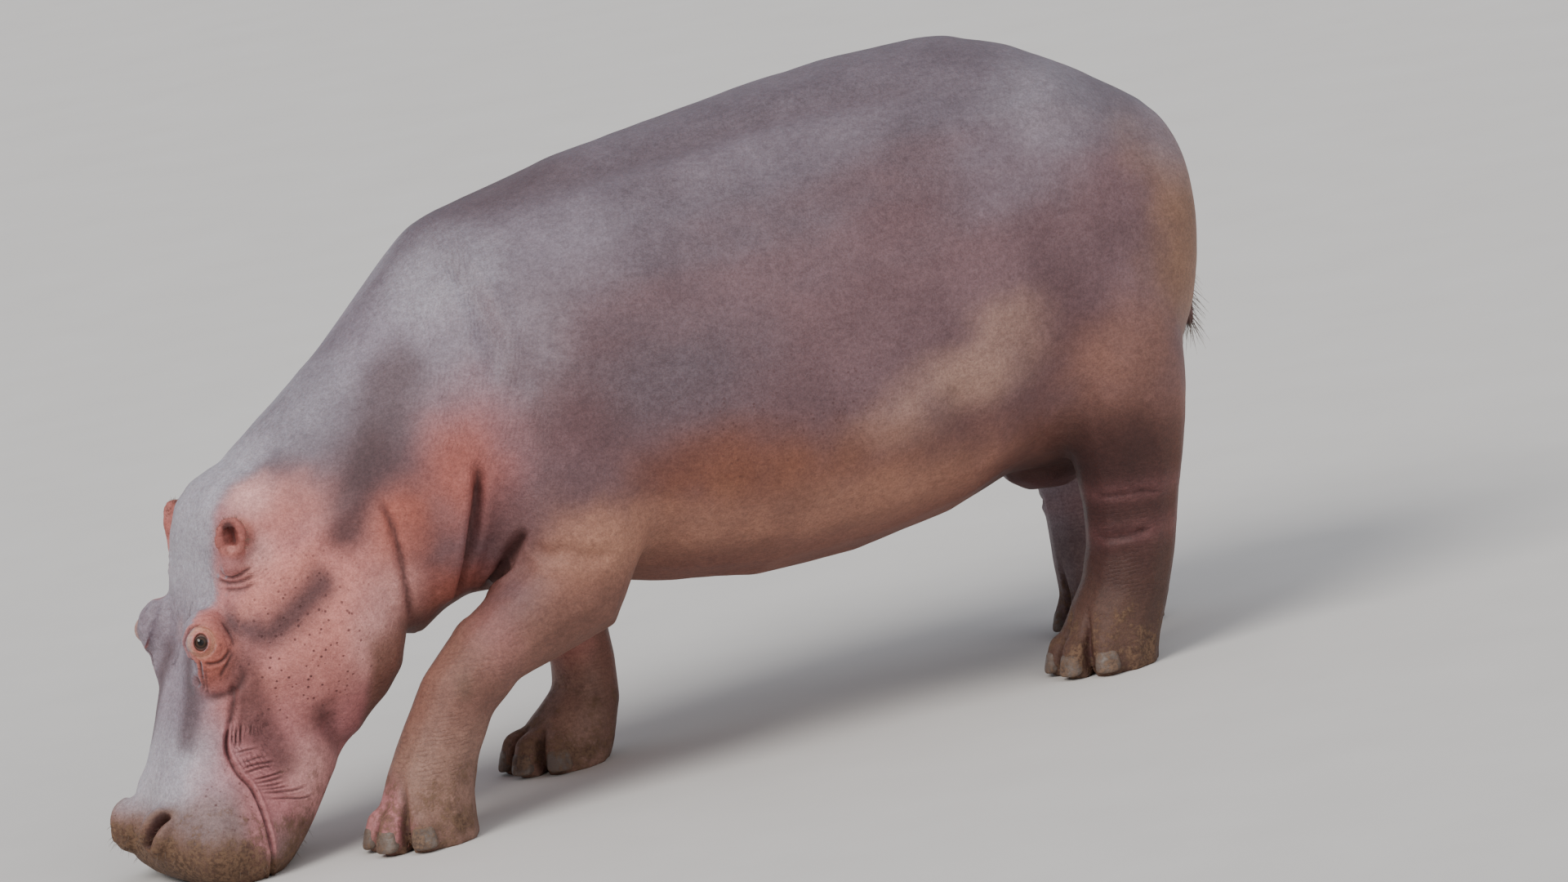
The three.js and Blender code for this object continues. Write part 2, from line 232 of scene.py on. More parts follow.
class Hide:
    """The skin while it is shaped: its points and outward normals in the animal's own directions."""

    def __init__(self, mesh):
        self.mesh = mesh
        self.read()

    def read(self):
        count = len(self.mesh.vertices)
        points, normals = np.empty(count * 3), np.empty(count * 3)
        self.mesh.vertices.foreach_get("co", points)
        self.mesh.vertices.foreach_get("normal", normals)
        self.co = to_animal(points.reshape(-1, 3))
        self.normal = normals.reshape(-1, 3) * TURNED

    def write(self):
        self.mesh.vertices.foreach_set("co", to_frame(self.co).ravel())
        self.mesh.update()
        self.read()

    def edges(self):
        ends = np.empty(len(self.mesh.edges) * 2, np.int32)
        self.mesh.edges.foreach_get("vertices", ends)
        return ends.reshape(-1, 2)

    def push(self, amount):
        """Moves the points out along their normals."""
        self.co += self.normal * np.asarray(amount)[:, None]

    def relax(self, passes, share):
        """Evens the surface out. Each pull in is followed by one out, so that the form keeps its size."""
        ends = self.edges()
        here, there = np.concatenate([ends, ends[:, ::-1]]).T
        count = len(self.co)
        degree = np.bincount(here, minlength=count)
        for _ in range(passes):
            for pull in RELAX_PULLS:
                mean = np.stack([np.bincount(here, self.co[there, i], count) for i in range(3)], 1)
                self.co += (pull * share)[:, None] * (mean / degree[:, None] - self.co)
        self.write()


def refined(mesh, wanted):
    """Halves each edge with both ends wanted."""
    work = bmesh.new()
    work.from_mesh(mesh)
    edges = [e for e in work.edges if wanted[e.verts[0].index] and wanted[e.verts[1].index]]
    bmesh.ops.subdivide_edges(work, edges=edges, cuts=1, use_grid_fill=True)
    bmesh.ops.triangulate(work, faces=[f for f in work.faces if len(f.verts) > 4])
    work.to_mesh(mesh)
    work.free()
    mesh.update()


def head_share(points):
    """1 on the head, from the poll forwards, and 0 on the neck, the body and the forelegs."""
    off_forelegs = np.maximum(ramp(points[:, 0], 0.94, 0.98), ramp(points[:, 2], 0.42, 0.5))
    return ramp(ahead_of_neck(points), -340, -250) * off_forelegs


def near_head_forms(points, places, reach):
    """1 at any of the places, on both sides of the head, and falling as a bell over their reach."""
    share = np.zeros(len(points))
    for l, y, k in places:
        for side in SIDES:
            away = np.linalg.norm(points - head_point(l, side * y, k), axis=1)
            share = np.maximum(share, bell(away, reach))
    return share


def close_to_head_forms(points, places, reach):
    """Which points lie within the reach of any of the places."""
    return near_head_forms(points, places, reach) > bell(1, 1)


EARS_AND_EYES = [EAR, EYE]


def wide_share(points):
    """1 where the body is wide and smooth, 0 on the head, the lower legs and the tail."""
    off_head = 1 - ramp(ahead_of_neck(points), -330, -190)
    off_legs = ramp(points[:, 2], 0.36, 0.62)
    off_tail = ramp(points[:, 0], -1.13, -1.04)
    return off_head * off_legs * np.maximum(off_tail, ramp(np.abs(points[:, 1]), 0.05, 0.12))


def smoothed_wide_form(mesh):
    """A searchable copy of the body with its facets evened out."""
    form = Hide(remeshed(mesh, WIDE_VOXEL))
    form.relax(passes=80, share=np.ones(len(form.co)))
    piece = new_object("form", form.mesh)
    piece.modifiers.new("fine", "SUBSURF").levels = 1
    fine = plain_mesh(piece)
    bpy.data.objects.remove(piece)
    work = bmesh.new()
    work.from_mesh(fine)
    tree = BVHTree.FromBMesh(work)
    work.free()
    return tree


def first_skin():
    """The skin with its facets evened out, least at the ears, the eyes and the feet."""
    solids = joined_solids()
    form = smoothed_wide_form(solids.copy())
    hide = Hide(remeshed(solids, VOXEL))
    share = 1 - 0.8 * near_head_forms(hide.co, EARS_AND_EYES, 0.08)
    off_feet = 0.4 + 0.6 * ramp(hide.co[:, 2], 0.05, 0.2)
    hide.relax(passes=40, share=share * off_feet)
    wide = wide_share(hide.co)
    for i in np.flatnonzero(wide > 0.01):
        nearest = form.find_nearest(Vector(to_frame(hide.co[i])))[0]
        hide.co[i] += wide[i] * (to_animal(nearest) - hide.co[i])
    hide.write()
    hide.relax(passes=8, share=share)
    return hide


FEET = ("forefoot_left", "forefoot_right", "hindfoot_left", "hindfoot_right")
NAIL_ANGLES = (66, 22, -22, -66)  # from straight ahead, outwards
NAIL_REACH = 0.118  # from the middle of a foot to its nails,
NAIL_INSET = 0.014  # and less by up to this at the side toes


def nail_middle(foot, number):
    """The middle of a nail of the solids, in the animal's own directions."""
    return to_animal(sum(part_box(f"{foot.replace('foot', 'nail')}_{number}"), Vector()) / 2)


def foot_side(foot):
    return 1 if foot.endswith("left") else -1


def foot_middle(foot):
    """The place that the four toes stand round."""
    places = []
    for number, degrees in enumerate(NAIL_ANGLES, 1):
        angle = math.radians(degrees) * foot_side(foot)
        reach = NAIL_REACH - NAIL_INSET * abs(math.sin(angle))
        places.append(nail_middle(foot, number)[:2] - reach * np.array([math.cos(angle), math.sin(angle)]))
    return np.mean(places, axis=0)


# Where the skin is finest: places on the head, and how far round them, in metres.
FINEST = (([EYE], 0.075), ([EAR_FOOT, BEFORE_EAR, NOSTRIL_MOUND], 0.055), (MOUTH_CORNER, 0.05))
FEET_TOP = 0.16  # the skin is finer below this, as it is on the head


def refine_hide(hide):
    """Makes the skin finer on the head and the feet, and finer again where the head has its small forms."""
    refined(hide.mesh, (ahead_of_neck(hide.co) > -300) | (hide.co[:, 2] < FEET_TOP))
    hide.read()
    finest = np.zeros(len(hide.co), bool)
    for places, reach in FINEST:
        finest |= close_to_head_forms(hide.co, places, reach)
    refined(hide.mesh, finest)
    hide.read()
    hide.relax(passes=4, share=np.full(len(hide.co), 0.6))


# ---- eyes and lids ----
GAZE = np.array([0.400, 0.902, 0.161])  # the way that the left eye looks
GAZE_UP = np.array([-0.216, -0.0775, 0.973])
LID_THICK = 0.0055
LID_OPEN = (0.015, 0.019)  # half the opening, along the eye and up
LID_EDGE = (0.025, 0.035)  # how far out the lid still follows the eyeball
LID_RIM = (0.92, 1.1)  # where the opening ends, as a share of its half size
LID_TUCK = 0.004  # how far the skin goes in behind the eyeball's front
LID_REACH = 0.05  # skin further than this from the line of gaze is left alone,
LID_FRONT = 0.06  # as is skin this far before the eye's middle
LID_BACK = (-0.03, 0.002)  # and, fading out, skin behind it


def eye_axes(side):
    """The eye's middle and its own directions: aside, up and out."""
    mirror = np.array([1, side, 1])
    out = GAZE / np.linalg.norm(GAZE)
    up = GAZE_UP - out * (GAZE_UP @ out)
    up /= np.linalg.norm(up)
    aside = np.cross(up, out)
    middle = eye_middle * mirror
    return middle, aside * mirror, up * mirror, out * mirror


def open_lids(hide, side):
    """Lays lids on the eyeball and opens them, so that the skin goes in behind the eyeball's front."""
    middle, aside, up, out = eye_axes(side)
    away = hide.co - middle
    u, v, w = away @ aside, away @ up, away @ out
    flat = np.hypot(u, v)
    near = (flat < LID_REACH) * (w < LID_FRONT) * ramp(w, *LID_BACK)
    lid = np.sqrt(np.maximum((EYE_RADIUS + LID_THICK) ** 2 - flat**2, 0))
    follows = (1 - ramp(flat, *LID_EDGE)) * near
    rise = lid - w
    if side < 0:
        rise = np.maximum(rise, 0)  # the right mound is full, with no furrow round its lids
    shaped = w + follows * rise
    opened = np.hypot(u / LID_OPEN[0], v / LID_OPEN[1])
    inside = (1 - ramp(opened, *LID_RIM)) * near
    behind = np.sqrt(np.maximum(EYE_RADIUS**2 - flat**2, 0)) - LID_TUCK
    shaped += inside * (behind - shaped)
    hide.co += (shaped - w)[:, None] * out


# ---- relief ----
GROOVE_REACH = 5  # widths of a groove within which it shapes the skin
LIP_PLACE = 2.1  # widths from a groove's middle to its lips
FOLD_SHADE_REACH = 0.8  # widths of a groove that get painted shade
ROLL_PLACE = 2.5  # widths from a groove's middle to the top of a roll beside it,
ROLL_REACH = 6  # and the widths that the roll runs out over
SWELL_REACH = 2.4  # reaches of a swell beyond which it is next to nothing


class Relief:
    """What is raised from the hide or pressed into it, in metres, and how much painted fold shade each place
    gets.
    """

    def __init__(self, hide):
        self.hide = hide
        self.height = np.zeros(len(hide.co))
        self.fold = np.zeros(len(hide.co))
        piece = new_object("search", hide.mesh)
        self.tree = BVHTree.FromObject(piece, bpy.context.evaluated_depsgraph_get())
        bpy.data.objects.remove(piece)

    def laid(self, path):
        """A smooth path through some places, laid on the hide."""
        return np.array([to_animal(self.tree.find_nearest(Vector(to_frame(p)))[0]) for p in rounded(path)])

    def cast(self, start, heading):
        """Where a straight line meets the hide."""
        turned = Vector(np.asarray(heading) * TURNED)
        return to_animal(self.tree.ray_cast(Vector(to_frame(start)), turned)[0])

    def near(self, low, high, reach):
        co = self.hide.co
        return np.flatnonzero(((co > low - reach) & (co < high + reach)).all(1))

    def groove(self, path, width, depth, lip, fade=0.2, fold=1.0, roll=None):
        """A groove along a path of places, with a low lip on both sides.

        Width and depth are in millimetres, and a negative depth makes a ridge. The lip is a share of the
        depth, fade the share of the path that each end takes to run out, and fold how much painted shade the
        groove gets.
        roll raises the skin on one side: it holds the way to that side and the height.
        """
        width, depth = width * MM, depth * MM
        path = self.laid(path)
        near = self.near(path.min(0), path.max(0), GROOVE_REACH * width)
        distance, place = along_path(self.hide.co[near], path)
        taper = ramp(place, 0, fade) * ramp(1 - place, 0, fade)
        lips = lip * bell(distance - LIP_PLACE * width, width)
        self.height[near] += depth * taper * (lips - bell(distance, width))
        self.fold[near] = np.maximum(self.fold[near], fold * taper * bell(distance, FOLD_SHADE_REACH * width))
        if roll:
            heading, height = np.array(roll[0], float), roll[1] * MM
            index = np.clip((place * (len(path) - 1)).round().astype(int), 0, len(path) - 1)
            side = (self.hide.co[near] - path[index]) @ (heading / np.linalg.norm(heading))
            away = side / (ROLL_PLACE * width)
            hump = np.where(side > 0, away * np.exp(1 - away), 0)
            self.height[near] += height * taper * hump * bell(distance, ROLL_REACH * width)

    def swell(self, place, reach, height, axes=BODY_AXES):
        """A rounded rise, or a hollow where the height is negative. It reaches that far along each axis."""
        place, reach = np.asarray(place, float), np.asarray(reach, float) * MM
        near = self.near(place, place, SWELL_REACH * max(reach))
        away = (self.hide.co[near] - place) @ axes.T / reach
        self.height[near] += height * MM * np.exp(-(away**2).sum(1))

    def apply(self):
        self.hide.push(self.height)
        self.hide.write()


def body_points(points, side):
    return [np.array(p, float) * MM * (1, side, 1) for p in points]


def head_points(points, side=1):
    return [head_point(l, side * y, k) for l, y, k in points]


WIDE_FOLD = 15  # folds this wide and wider get only a little painted shade
# Each row: width, depth, lip, way to the raised side and its height, and the places, in millimetres.
# A negative depth makes a ridge.
BODY_FOLDS = [
    # behind the cheek
    (10, 9, 0.3, ((1, 0, 0), 5),
     [(885, 253, 771), (867, 265, 681), (859, 258, 622), (836, 194, 497), (819, 153, 462)]),
    # the neck's last fold, over the chest
    (12, 24, 0.2, ((1, 0, 0), 16),
     [(664, 314, 800), (683, 300, 694), (703, 264, 594), (714, 236, 554), (719, 206, 519), (712, 150, 488)]),
    # between upper foreleg and chest
    (12, 20, 0.2, None,
     [(592, 345, 634), (600, 259, 575), (617, 224, 548), (635, 181, 515), (631, 105, 481)]),
    # across the elbow
    (16, 8, 0.3, None,
     [(597, 334, 612), (575, 349, 572), (553, 366, 566), (534, 383, 568), (489, 393, 548), (414, 388, 540)]),
    # down the front of the shoulder blade
    (20, 10, 0.5, None,
     [(590, 136, 1218), (591, 217, 1150), (585, 271, 1080), (588, 304, 1011), (618, 316, 930)]),
    # beside the backbone
    (50, 13, 0.2, None,
     [(374, 128, 1290), (78, 149, 1330), (-115, 163, 1346), (-305, 184, 1354), (-493, 207, 1354),
      (-640, 200, 1359)]),
    # across the hind leg above the heel
    (6, 5, 0.4, None, [(-758, 270, 398), (-794, 321, 388), (-843, 348, 389), (-902, 346, 380)]),
    (8, 9, 0.4, None, [(-756, 250, 301), (-783, 297, 294), (-816, 325, 295), (-870, 335, 302)]),
    (5, 3, 0.4, None, [(-760, 240, 318), (-790, 300, 312), (-840, 332, 314)]),
    # from belly to thigh
    (40, 13, 0.2, None, [(-400, 438, 760), (-425, 420, 660), (-452, 380, 580), (-500, 330, 500)]),
]

HEAD_FOLDS = [
    # below the cheekbone, and the cheekbone
    (38, 9, 0.1, None, [(330, 188, -120), (250, 215, -160), (160, 224, -236), (100, 226, -300)]),
    (30, -9, 0.1, None,
     [(208, 186, -85), (137, 212, -138), (57, 208, -201), (-22, 233, -253), (-85, 252, -311)]),
    # the border between the snout's front and side
    (26, -6, 0.1, None,
     [(400, 125, -60), (432, 136, -66), (504, 127, -62), (594, 128, -50), (659, 113, -33)]),
    # from the eye's mound to the corner of the mouth
    (7, 6, 0.4, None, [(362, 165, -92), (395, 162, -104), (430, 158, -108), (468, 154, -108)]),
    # under the ear
    (5, 4, 0.5, None, [(112, 202, -84), (132, 186, -66), (140, 162, -48), (136, 136, -34)]),
    (5, 4, 0.5, None, [(124, 206, -96), (148, 184, -74), (157, 156, -52), (152, 128, -34)]),
    (5, 3, 0.5, None, [(146, 204, -98), (167, 178, -72), (172, 148, -50)]),
    # where the jaw's underside meets the cheek
    (26, 15, 0.2, None, [(400, 190, -300), (430, 165, -330), (450, 120, -350), (455, 60, -360)]),
]
# Each row: the middle, the reach down the face, aside and out, and the height, in millimetres.
HEAD_SWELLS = [
    ((225, 250, -310), (150, 90, 120), 15),  # cheek
    ((270, 235, -225), (120, 90, 110), 8),
    ((300, 0, 0), (130, 60, 60), -9),  # hollow between the eyes
    ((60, 0, 0), (80, 90, 60), 4),  # crown
    ((655, 190, -110), (90, 60, 90), 9),  # upper lip
    ((560, 165, -95), (60, 50, 60), -5),  # waist of the snout
    ((704, 84, 0), (62, 46, 50), 19),  # round the nostril
    ((735, 118, -30), (46, 30, 40), 4),
    ((700, 0, 0), (90, 24, 50), -4),  # between the nostrils
    ((118, 192, -62), (26, 26, 26), 7),  # foot of the ear
]
BODY_SWELLS = [
    ((-829, 238, 1298), (110, 80, 70), 9),  # hip
    ((-654, 100, 1390), (110, 90, 60), 5),  # croup
    ((-719, 430, 970), (130, 110, 170), -12),  # flank's hollow
    ((-820, 400, 640), (150, 110, 190), 9),  # thigh
    ((560, 350, 780), (140, 100, 150), 8),  # upper foreleg
    ((829, 287, 350), (60, 60, 70), 7),  # wrist
    ((640, 330, 420), (90, 80, 90), 6),  # forearm
    ((-893, 345, 420), (60, 60, 60), 6),  # heel
]
# Wrinkles of the lower jaw, from the mouth line backwards.
JAW_WRINKLES = [
    [(517, 156, -123), (503, 163, -154), (495, 165, -184)],
    [(542, 161, -129), (518, 163, -176), (510, 166, -206)],
    [(558, 167, -145), (538, 167, -185), (527, 165, -222)],
    [(568, 170, -163), (556, 170, -198), (532, 164, -256)],
    [(579, 174, -172), (571, 173, -213), (557, 167, -255)],
    [(591, 179, -182), (584, 175, -224), (572, 168, -277), (555, 154, -316)],
    [(603, 184, -191), (595, 177, -239), (587, 162, -299), (568, 135, -346)],
    [(550, 164, -136), (530, 166, -180), (517, 165, -232)],
    [(574, 172, -168), (563, 171, -206), (545, 166, -255)],
    [(585, 176, -178), (577, 174, -219), (564, 168, -268)],
    [(442, 158, -113), (476, 154, -117), (505, 155, -121)],
    [(440, 163, -130), (476, 160, -134), (501, 161, -141)],
    [(440, 169, -150), (478, 164, -157)],
    [(450, 166, -122), (485, 158, -126), (510, 158, -131)],
]
# Small beads of skin before the ear.
EAR_BEADS = [
    (118, 110, -24), (128, 126, -32), (134, 108, -26), (146, 118, -32), (150, 140, -40), (160, 126, -36),
]
BEAD = {"reach": (8, 8, 8), "high": 4}
EAR_HOLLOW = [(36, 198, -14), (56, 200, -20), (78, 197, -31)]
MOUTH_LINE = [
    (440, 156, -108), (488, 151, -107), (521, 153, -117), (557, 166, -143), (581, 174, -171),
    (628, 192, -196), (670, 206, -213), (712, 212, -228), (755, 196, -246), (786, 150, -256), (800, 70, -262),
]
NOSTRIL = [(666, 113), (690, 109), (717, 100), (742, 86)]  # down the face and aside
MOUND_BACK = -0.06  # metres; skin further behind an eye's middle than this is no part of its mound
RIGHT_LIDS = slice(1, -2)  # the rows that the right eye has as well,
SLACK = 0.45  # and how deep they are there, since its lids hang slacker
CAST_FROM = 0.3  # metres before the eye, from where its folds are cast on to the skin
# Folds round an eye: width, depth, and places aside and up from the eye's middle, in millimetres. Aside is
# towards the back of the head.
EYE_FOLDS = [
    (4, 6, [(11, 35), (-9, 34), (-25, 25), (-34, 8), (-34, -9), (-25, -30), (-12, -48), (-5, -60)]),
    (4, 4, [(64, -8), (55, -26), (42, -40), (23, -46), (2, -43)]),
    (4, 3, [(69, -14), (58, -38), (45, -62), (38, -79)]),
    (4, 2, [(41, 45), (62, 15), (70, -14)]),
    (3.5, 4, [(-5, -34), (-1, -62), (4, -85), (2, -109)]),
    (3, 2.5, [(8, -56), (10, -79), (12, -115)]),
    (9, 8, [(-56, 12), (-56, -14), (-44, -38), (-28, -54), (-14, -72), (-6, -95)]),
    (10, 5, [(86, -44), (88, -73), (72, -100), (35, -116), (0, -118)]),
]


# An eye's mound: all in millimetres, the middle aside and up from the eye's own.
MOUND_MIDDLE = (16, -20)
MOUND_BEFORE, MOUND_BEHIND = 56, 78  # its reach along the head,
MOUND_BELOW, MOUND_ABOVE = 98, 92  # and across it
MOUND_TOP = 15
MOUND_FALL = 58  # from its top to its rim
MOUND_BLEND = 9  # how softly it joins the skin
MOUND_OWN_SIDE = (0.05, 0.1)  # metres from the head's middle, where a mound begins


def spread_mound(hide, side):
    """Spreads an eye's mound into the forehead and down the face, as one bag of skin."""
    middle, aside, up, out = eye_axes(side)
    u, v, w = ((hide.co - middle) @ axis / MM for axis in (aside, up, out))
    middle_u, middle_v = MOUND_MIDDLE
    reach = np.hypot(
        (u - middle_u) / np.where(u < middle_u, MOUND_BEFORE, MOUND_BEHIND),
        (v - middle_v) / np.where(v < middle_v, MOUND_BELOW, MOUND_ABOVE),
    )
    dome = MOUND_TOP - MOUND_FALL * reach**2
    not_deep = w > -85 if side > 0 else ramp(w, -80, -30)  # the right one slopes off gently
    own_side = ramp(side * hide.co[:, 1], *MOUND_OWN_SIDE) * not_deep
    raised = MOUND_BLEND * np.logaddexp(0, (dome - w) / MOUND_BLEND) * (w < 60) * (reach < 1.5) * own_side
    hide.co += (raised * MM)[:, None] * out


CLEFT_ANGLES = (44, 0, -44)
# A cleft is deepest up to the height called full, and ends at its top.
CLEFT = {"wide": 0.008, "deep": 0.026, "full": 0.04, "top": 0.19}
TOE_SWELL = 0.005
TOE_SPREAD = 13  # degrees
TOE_START = (0.05, 0.09)  # from the foot's middle to where its toes begin
FOOT_REACH = 0.2
FOOT_HIGH = 0.25


def part_toes(relief):
    """Presses clefts between the toes, deepest at the ground, with painted shade in them, and swells each
    toe.
    """
    for foot in FEET:
        away = relief.hide.co[:, :2] - foot_middle(foot)
        reach = np.linalg.norm(away, axis=1)
        z = relief.hide.co[:, 2]
        near = np.flatnonzero((reach < FOOT_REACH) & (z < FOOT_HIGH))
        reach, z = reach[near], z[near]
        angle = np.degrees(np.arctan2(away[near, 1], away[near, 0])) * foot_side(foot)
        low = (1 - ramp(z, CLEFT["full"], CLEFT["top"])) * ramp(reach, *TOE_START)
        for cleft in CLEFT_ANGLES:
            cut = low * bell(np.radians(angle - cleft) * reach, CLEFT["wide"])
            relief.height[near] -= CLEFT["deep"] * cut
            relief.fold[near] = np.maximum(relief.fold[near], cut)
        for toe in NAIL_ANGLES:
            relief.height[near] += TOE_SWELL * low * bell(angle - toe, TOE_SPREAD)


def fold_row(relief, places, width, depth, lip, roll):
    """One row of a table of folds. A ridge gets no painted shade, and a wide fold only a little."""
    shade_share = 1 if width < WIDE_FOLD else 0.2
    relief.groove(places, width, depth, lip, roll=roll, fold=(depth > 0) * shade_share)


def model_folds(relief, side):
    for width, depth, lip, roll, places in BODY_FOLDS:
        fold_row(relief, body_points(places, side), width, depth, lip, roll)
    for width, depth, lip, roll, places in HEAD_FOLDS:
        fold_row(relief, head_points(places, side), width, depth, lip, roll)


def model_head_swells(relief, side):
    """The swells of one side, and those of the middle along with the left."""
    for (l, y, k), reach, height in HEAD_SWELLS:
        if y or side > 0:
            relief.swell(head_point(l, side * y, k), reach, height, HEAD_AXES)


def model_jaw_wrinkles(relief, side):
    """Wrinkles that differ a little in width and depth from one to the next."""
    for number, places in enumerate(JAW_WRINKLES):
        width, depth = 2.1 + number % 3 * 0.3, 1.9 + number % 4 * 0.4
        relief.groove(head_points(places, side), width, depth, lip=0.7, fade=0.35)


def model_eye_folds(relief, side):
    middle, aside, up, out = eye_axes(side)
    for width, depth, places in EYE_FOLDS if side > 0 else EYE_FOLDS[RIGHT_LIDS]:
        starts = [middle + (u * aside + v * up) * MM + CAST_FROM * out for u, v in places]
        laid = [relief.cast(start, -out) for start in starts]
        laid = [place for place in laid if (place - middle) @ out > MOUND_BACK]
        tight = 1 if side > 0 else SLACK
        if len(laid) > 1:
            relief.groove(laid, width, depth * tight, lip=0.4)


def model_nostril(relief, side):
    """A soft trough along the nostril, with a narrow slot on its outer side that gets painted shade."""
    trough = [relief.cast(head_point(l, side * y, 200), -OUT_OF_FACE) for l, y in NOSTRIL]
    slot = [place + (0, side * 0.003, 0) for place in trough]
    relief.groove(trough, 9, 9, lip=0.5, fade=0.1, fold=0)
    relief.groove(slot, 5, 15, lip=0.1, fade=0.1)


def model_ear_hollow(relief, side):
    """A wide hollow with a narrow one along its bottom, which gets painted shade."""
    hollow = head_points(EAR_HOLLOW, side)
    relief.groove(hollow, 10, 14, lip=0.1, fold=0)
    relief.groove(hollow, 4, 5, lip=0.1)


def model_mouth(relief):
    """The mouth line, from one corner round the front to the other, with the upper lip rolled over it."""
    far_side = [(l, -y, k) for l, y, k in MOUTH_LINE[::-1]]
    relief.groove(head_points(MOUTH_LINE + far_side), 4.5, 11, lip=0.4, fade=0.04, roll=(OUT_OF_FACE, 5))


def model_loose_skin(relief):
    """Low, wide unevenness, except on the ears, the eyes and the feet."""
    co = relief.hide.co
    loose = ramp(co[:, 2], 0.05, 0.25) * (1 - near_head_forms(co, EARS_AND_EYES, 0.1))
    relief.height += loose * (0.0022 * noise(co, 0.12, 1) + 0.0008 * noise(co, 0.04, 2))


def model_hide(hide):
    """All that is raised from the skin or pressed into it."""
    relief = Relief(hide)
    for side in SIDES:
        model_folds(relief, side)
        model_head_swells(relief, side)
        model_jaw_wrinkles(relief, side)
        for place, reach, height in BODY_SWELLS:
            relief.swell(body_points([place], side)[0], reach, height)
        for place in head_points(EAR_BEADS, side):
            relief.swell(place, BEAD["reach"], BEAD["high"])
        model_eye_folds(relief, side)
        model_nostril(relief, side)
        model_ear_hollow(relief, side)
    part_toes(relief)
    model_mouth(relief)
    model_loose_skin(relief)
    return relief


SKIN_TRIANGLES = 192000
KEPT_REACH = 0.06  # the skin is not thinned within this of eyes, ears and nostrils


def thinned(mesh, kept, wanted):
    """Takes out the points that shape the skin least, and none of the kept ones."""
    piece = new_object("thin", mesh)
    group = piece.vertex_groups.new(name="kept")
    group.add([int(i) for i in np.flatnonzero(kept)], 1, "REPLACE")
    change = piece.modifiers.new("thin", "DECIMATE")
    triangles = sum(len(face.vertices) - 2 for face in mesh.polygons)
    change.ratio = wanted / triangles
    change.vertex_group = group.name
    change.invert_vertex_group = True
    made = plain_mesh(piece)
    bpy.data.objects.remove(piece)
    return made


def keep_numbers(mesh, name, values):
    """Stores a number for each point of the mesh under that name."""
    mesh.attributes.new(name, "FLOAT", "POINT").data.foreach_set("value", np.asarray(values, np.float32))


def shaped_skin():
    """The finished skin. Its fold attribute is 1 in the depth of a fold, where the hide gets painted shade.
    """
    hide = first_skin()
    refine_hide(hide)
    for side in SIDES:
        spread_mound(hide, side)
    hide.relax(passes=6, share=near_head_forms(hide.co, [EYE_MOUND], 0.1))
    for side in SIDES:
        open_lids(hide, side)
    hide.write()
    relief = model_hide(hide)
    keep_numbers(hide.mesh, "fold", relief.fold)
    relief.apply()
    hide.co[:, 2] = np.maximum(hide.co[:, 2], 0)
    hide.write()
    kept = close_to_head_forms(hide.co, [EYE, EAR_FOOT, NOSTRIL_MOUND], KEPT_REACH)
    return Hide(thinned(hide.mesh, kept, SKIN_TRIANGLES))


# ---- eyeballs and nails ----
def turned_mesh(name, points, faces):
    """A mesh from points in the animal's own directions, with its faces outwards."""
    mesh = bpy.data.meshes.new(name)
    mesh.from_pydata([tuple(p) for p in to_frame(points)], [], faces)
    work = bmesh.new()
    work.from_mesh(mesh)
    bmesh.ops.remove_doubles(work, verts=work.verts, dist=1e-6)
    bmesh.ops.recalc_face_normals(work, faces=work.faces)
    work.to_mesh(mesh)
    work.free()
    mesh.shade_smooth()
    return mesh


EYE_ROUND = 56  # points round the eyeball,
EYE_RINGS = 40  # and rings from its front to its back
RING_CROWD = 1.3  # over 1, the rings stand closer at the front
CORNEA = {"edge": math.radians(34), "rise": 0.0016}


def make_eye(side):
    """An eyeball with a raised cornea. The ring attribute is the turn from its front, in degrees."""
    middle, aside, up, out = eye_axes(side)
    points = []
    for ring in range(EYE_RINGS + 1):
        turn = math.pi * (ring / EYE_RINGS) ** RING_CROWD
        reach = EYE_RADIUS + CORNEA["rise"] * (1 - float(ramp(turn, 0, CORNEA["edge"])))
        for step in range(EYE_ROUND):
            round_it = 2 * math.pi * step / EYE_ROUND
            across = math.cos(round_it) * aside + math.sin(round_it) * up
            points.append(middle + reach * (math.cos(turn) * out + math.sin(turn) * across))
    faces = []
    for ring in range(EYE_RINGS):
        for step in range(EYE_ROUND):
            a, b = ring * EYE_ROUND + step, ring * EYE_ROUND + (step + 1) % EYE_ROUND
            faces.append((a, b, b + EYE_ROUND, a + EYE_ROUND))
    name = f"eyeball_{'left' if side > 0 else 'right'}"
    mesh = turned_mesh(name, points, faces)
    away = to_animal([v.co for v in mesh.vertices]) - middle
    off_axis = np.hypot(away @ aside, away @ up)
    keep_numbers(mesh, "ring", np.degrees(np.arctan2(off_axis, away @ out)))
    return new_object(name, mesh)


# Half sizes, how far a nail stands out, its lean, the radius it is bent to, and its narrowing to the top.
NAIL = {
    "thick": 0.0125, "wide": 0.027, "high": 0.024, "proud": 0.0075, "tilt": 0.3, "bend": 0.05, "taper": 0.12,
}
NAIL_CUTS = 9
NAIL_SQUARE = 4  # 2 would make an ellipsoid, and more makes it blockier


